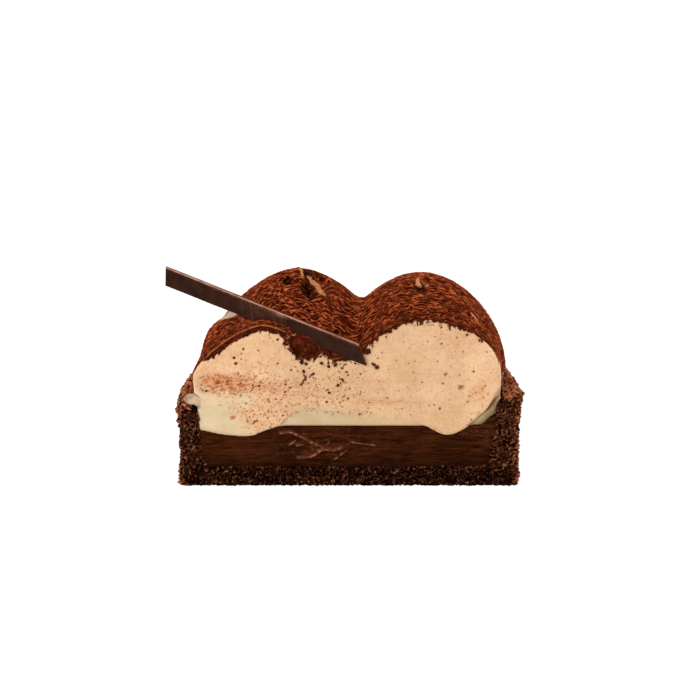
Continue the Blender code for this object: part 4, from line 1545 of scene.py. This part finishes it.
def cocoa_flow(points):
    """Places in the pattern of the strands, pushed about to make them wander. The strands run side
    by side with the cut, the closer together the nearer they are to it."""
    x, y, z = points.T
    across = y + 4.0 * (1.0 - np.exp(-np.maximum(y, 0.0) / 4.0))
    flow = np.stack([x, across, z], axis=1)
    return flow + STRAND_PUSH * push(points, 2.0, (41, 42, 43))


def strands(flow, slant, shift):
    """Wavy strands that lean by a slant: 1 on top of a strand and 0 between two."""
    bend = 1.15 * wave(flow / STRAND_BEND + shift)
    bend += 0.4 * wave(flow / STRAND_BEND * 2.1 + shift + 7.0)
    phase = (flow[:, 1] + slant * flow[:, 0]) / STRAND_SPACING + bend
    thick = np.clip(0.75 + 0.9 * wave(flow / STRAND_PATCH + shift + 3.0), 0.3, 1.05)
    return (0.5 + 0.5 * np.cos(2.0 * math.pi * phase)) ** 2 * thick


def cocoa_relief(flow):
    """Two sets of strands that cross and leave dark gaps: about 0 in a gap and 1 on a strand."""
    first, second = strands(flow, STRAND_SLANT, 0.0), strands(flow, -STRAND_SLANT, 11.0)
    return 0.08 + 0.8 * (np.maximum(first, second) + 0.35 * np.minimum(first, second))


def near_spot(points, spot, radii):
    away = np.linalg.norm((points - np.array(spot)) / np.array(radii), axis=1)
    return smoothstep((1.3 - away) / 0.6)


def streak(points, start, end, width):
    """1 along a line in space and 0 beyond a width from it, with frayed sides."""
    away, _ = from_line(points, np.array(start), np.array(end))
    frayed = np.linalg.norm(away, axis=1) / width + 0.7 * noise(points, (0.7, 0.7, 0.5), 56)
    return smoothstep((1.2 - frayed) / 0.7)


def bare_share(points):
    """Where no cocoa lies on the mousse: a patch under the stick, and low at its sides."""
    x, y, _ = points.T
    patch = near_spot(points, (-23.6, 9.6, 34.9), (3.4, 2.6, 1.9)) * smoothstep((-20.6 - x) / 0.8)
    bare = 0.65 * patch * smoothstep((y - 7.2 - 0.4 * noise(points, 0.8, 54)) / 0.4)
    foot = BARE_HEIGHT + np.exp(-((y / 2.2) ** 2)) * np.where(x < 0.0, *BARE_MORE_AT_CUT)
    foot = foot + 1.3 * noise(points, 3.5, 50) + 1.2 * noise(points, (0.6, 0.6, 1.4), 53)
    return np.maximum(bare, smoothstep((foot - points[:, 2]) / 0.9))


def lip_share(points):
    """A painted highlight: the thin light line along the front dollop's upper edge."""
    x, y, _ = points.T
    near = np.exp(-((dollops_distance(points) / 0.12) ** 2)) * smoothstep((0.3 - y) / 0.15)
    return 0.85 * front_share(x) * near * clipped(0.8 + 0.6 * noise(points, 1.3, 57))


def depth_in(points, shapes):
    """How deep points lie in the nearest of some ellipsoids, under zero outside them."""
    return np.max([-ellipsoid_distance(points, shape) for shape in shapes], axis=0)


def dress_cocoa(obj):
    points, normals = points_of(obj), normals_of(obj)
    x, y, _ = points.T
    flow = cocoa_flow(points)
    bare = bare_share(points)
    smooth = 0.6 * smoothstep((0.6 + depth_in(points, PRESSED_LUMPS)) / 0.5)
    lift = STRAND_LIFT * (cocoa_relief(flow) - 0.5) * smoothstep(y / 0.7)
    lift = lift * (1.0 - 0.8 * bare) * (1.0 - 0.7 * smooth)
    move_points(obj, points + normals * lift[:, None])
    give_flow(obj, flow)
    # Painted shade in the left crater, where it is partly its dark pores too, under the dents, along
    # the cut's upper edge and on the pressed lumps beside the stick
    dark = smoothstep((depth_in(points, CRATERS) + 0.25) / 0.4) * smoothstep((-5.9 - x) / 1.2)
    dents = smoothstep((depth_in(points, DENTS) + 0.2) / 0.3)
    by_cut = 0.35 * smoothstep((1.6 - y) / 1.5) + 0.25 * smooth
    thin = [strength * streak(points, *line) for strength, *line in TAN_STREAKS]
    give(
        obj,
        smooth=smooth,
        lip=lip_share(points),
        bare=bare,
        tan=np.max(thin, axis=0),
        sunk=np.max([0.9 * dark, 0.8 * dents, by_cut], axis=0),
    )
    finish_piece(obj, "mousse", cocoa_look())


def dress_cut(obj):
    points = points_of(obj)
    shown = (points[:, 1] < MARKS_DEPTH).astype(float)
    give(
        obj,
        dust=draw_dust().read(points) * shown,
        rust=rust.read(points) * shown,
        pit=pits.read(points) * shown,
        grey=draw_grey().read(points) * shown,
        creamy=cream_share(points),
        olive=olive_share(points) * shown,
        busy=busy_share(points),
        lip=lip_share(points),
    )
    finish_piece(obj, "mousse", cut_look("coffee_mousse"))


def dress_underside(obj):
    """The mousse where it rests on the fillings and the rim needs few points."""
    obj.modifiers.new("fewer", "DECIMATE").ratio = 0.12
    bake(obj)
    give(obj, creamy=cream_share(points_of(obj)))
    finish_piece(obj, "mousse", cut_look("coffee_mousse"))


def faces_of(obj):
    corners = np.empty(len(obj.data.loops), np.int32)
    obj.data.loops.foreach_get("vertex_index", corners)
    return corners.reshape(-1, 4)


def mousse():
    """The mousse's skin, parted into its cut, its underside and its dusted outside. The dusted
    outside is in three pieces."""
    whole = skin("mousse", cut_mousse_distance, *MOUSSE_BOX, MOUSSE_STEP)
    points, faces = points_of(whole), faces_of(whole)
    discard(whole)
    centres = points[faces].mean(axis=1)
    x, y, _ = centres.T
    lip = (lip_distance(centres) < 0.05) & (y < 0.7)
    dusted = ((dollops_distance(centres) > -0.1) & (y > 0.06)) | lip
    under = ~dusted & (y > 1.3)
    back, left = y > DUSTED_PARTS[0], x < DUSTED_PARTS[1]
    for name, chosen, dress in (
        ("mousse_cut", ~dusted & ~under, dress_cut),
        ("mousse_underside", under, dress_underside),
        ("cocoa_left", dusted & left & ~back, dress_cocoa),
        ("cocoa_right", dusted & ~left & ~back, dress_cocoa),
        ("cocoa_back", dusted & back, dress_cocoa),
    ):
        used, index = np.unique(faces[chosen], return_inverse=True)
        dress(object_from(name, points[used], [index.reshape(-1, 4)]))


def cocoa_clods():
    """Clods of cocoa along the cut's upper edge, on its face and by the stick's tip."""
    rng = np.random.default_rng(61)
    spots = spots_on_cut(rng, 29, (20, 43), CLOD_PLACES)
    depth = -dollops_distance(spots)
    want = np.exp(-((depth - 0.25) / 0.45) ** 2) * (depth > -0.1) * (np.abs(spots[:, 0]) < 27.0)
    chosen = spots[rng.random(len(spots)) < 0.16 * want]
    sizes = 0.1 + 0.17 * rng.random(len(chosen)) ** 2
    chosen[:, 1] = relief_of_cut.read(chosen) - 0.3 * sizes
    x, z, own_sizes = np.array(COCOA_CLODS).T
    own = np.stack([x, np.full(len(x), -0.15), z], axis=1)
    obj = lumps("cocoa_clods", np.concatenate([chosen, own]), np.concatenate([sizes, own_sizes]), 62)
    finish_piece(obj, "mousse", clod_look())


def stick_frame():
    start, end = np.array(STICK_FREE_END), np.array(STICK_SUNK_END)
    along = (end - start) / np.linalg.norm(end - start)
    back = np.array([-along[1], along[0], 0.0])
    back /= np.linalg.norm(back)
    return start, end, along, np.cross(along, back), back


def spaced(length, count, rounding):
    """Stations along a side, close together at its two ends."""
    close = np.array([0.0, 0.3, 0.7, 1.0]) * rounding
    middle = np.linspace(2.0 * rounding, length - 2.0 * rounding, count)
    return np.concatenate([close, middle, length - close[::-1]])


def box_grid(name, *axes):
    """A box's skin as grids with the given spacings."""
    sizes = [len(axis) for axis in axes]
    index = np.arange(math.prod(sizes)).reshape(sizes)
    quads = []
    for axis in range(3):
        for side in (0, -1):
            corners = squares(index.take(side, axis))
            quads.append(corners if (side < 0) == (axis != 1) else corners[:, ::-1])
    used, index = np.unique(np.concatenate(quads), return_inverse=True)
    spots = np.unravel_index(used, sizes)
    points = np.stack([axis[spot] for axis, spot in zip(axes, spots)], axis=1)
    return object_from(name, points, [index.reshape(-1, 4)])


def stick_body(length):
    """A box with rounded edges, and which way each point faces on its roundings."""
    obj = box_grid(
        "chocolate_stick",
        spaced(length, 170, STICK_ROUNDING),
        spaced(STICK_THICKNESS, 5, STICK_ROUNDING),
        spaced(STICK_WIDTH, 20, STICK_ROUNDING),
    )
    local = points_of(obj)
    sizes = np.array([length, STICK_THICKNESS, STICK_WIDTH])
    inner = np.clip(local, STICK_ROUNDING, sizes - STICK_ROUNDING)
    away = local - inner
    distance = np.linalg.norm(away, axis=1)[:, None]
    outward = away / np.maximum(distance, 1e-9)
    return obj, np.where(distance > 0.0, inner + outward * STICK_ROUNDING, local), outward


def stick():
    start, end, along, up, back = stick_frame()
    length = np.linalg.norm(end - start)
    obj, local, outward = stick_body(length)
    wobble = 0.05 * noise(local, (6.0, 1.5, 1.5), 81) + 0.02 * noise(local, 0.6, 82)
    # x, y and z stay the places on the stick without its wobble
    x, y, z = local.T
    local = local + outward * wobble[:, None]
    slants = STICK_WIDTH * np.array(STICK_END_SLANTS)
    along_share = local[:, 0] / length
    slant = slants[0] * (1.0 - along_share) + slants[1] * along_share
    shift = -(local[:, 2] / STICK_WIDTH) * slant
    placed = start + (local[:, 0] + shift)[:, None] * along
    move_points(obj, placed + local[:, 1:2] * back + local[:, 2:3] * up)
    top = smoothstep((z - STICK_WIDTH + 0.06) / 0.05)
    ends = smoothstep((np.abs(x - 0.5 * length) - 0.5 * length + 0.06) / 0.05)
    fringe = smoothstep((z - STICK_WIDTH + 0.62) / 0.25) * (y < 0.1) * smoothstep((x - 6.0) / 8.0)
    fringe = 0.75 * fringe * clipped(0.6 + 1.1 * noise(local, (0.9, 0.5, 0.4), 87))
    rubbed = smoothstep((x - 15.5) / 2.0) * smoothstep((27.5 - x) / 3.0)
    # Painted highlight: a light line along the front's top edge, on the top face near the free end, and
    # on the chip
    edge = smoothstep((z - STICK_WIDTH + 0.2) / 0.12) * smoothstep((0.3 - y) / 0.15)
    edge = np.maximum(0.8 * edge, 0.5 * top * smoothstep((18.0 - x) / 6.0))
    edge = edge * (0.75 + 0.5 * noise(local, (1.5, 0.6, 0.6), 84))
    chip = hump(x, z, 25.4, STICK_WIDTH - 0.5, 1.1, 0.3)
    chip = chip * threads(local, (0.7, 0.7, 0.45), 0.4, 85) * (y < 0.2)
    # The top face is lighter as painted light; the ends and a fringe under the top edge are lighter too
    side = np.max([0.8 * top * smoothstep((x - 12.0) / 6.0), 0.8 * ends, fringe], axis=0)
    give(
        obj,
        along=x * 0.001,
        scratched=rubbed * (y < 0.2) * (0.7 + 0.6 * noise(local, (1.5, 1.0, 1.2), 86)),
        side=clipped(side),
        worn=clipped(edge + 0.8 * chip),
    )
    finish_piece(obj, "stick", stick_look())


# -------------------- stage


def floor():
    size = 3.0
    corners = [(-size, -size, 0.0), (size, -size, 0.0), (size, size, 0.0), (-size, size, 0.0)]
    obj = object_from("floor", corners, [[(0, 1, 2, 3)]])
    n = Nodes("floor_white")
    n.set(Base_Color=(0.45, 0.45, 0.45, 1.0), Roughness=0.9, Specular_IOR_Level=0.0)
    n.set(Emission_Color=(1.0, 1.0, 1.0, 1.0), Emission_Strength=FLOOR_GLOW)
    obj.data.materials.append(n.material)
    obj.visible_glossy = False


def area_light(name, place, size, power):
    data = bpy.data.lights.new(name, "AREA")
    data.shape = "DISK"
    data.size = size
    data.energy = power
    obj = linked(name, data)
    obj.location = place
    obj.rotation_euler = (Vector(LIT_SPOT) - Vector(place)).to_track_quat("-Z", "Y").to_euler()


def studio():
    world = bpy.data.worlds.new("studio")
    bpy.context.scene.world = world
    world.use_nodes = True
    background = world.node_tree.nodes["Background"]
    background.inputs["Color"].default_value = (1.0, 1.0, 1.0, 1.0)
    background.inputs["Strength"].default_value = LIGHT_ALL_ROUND
    world.cycles_visibility.glossy = False
    for light in LIGHTS:
        area_light(*light)


def camera():
    data = bpy.data.cameras.new("camera")
    data.lens = CAMERA_LENS
    data.sensor_width = 36.0
    data.clip_start = 0.01
    obj = linked("camera", data)
    x, y, z = CAMERA_PLACE
    obj.location = (x * 0.001, (y - BASE_POINT_Y) * 0.001, z * 0.001)
    obj.rotation_euler = (math.radians(90.0 - CAMERA_TILT), 0.0, 0.0)
    bpy.context.scene.camera = obj


camera()
crust()
ganache()
cream()
mousse()
cocoa_clods()
stick()
floor()
studio()
bpy.context.scene.view_settings.view_transform = "Standard"
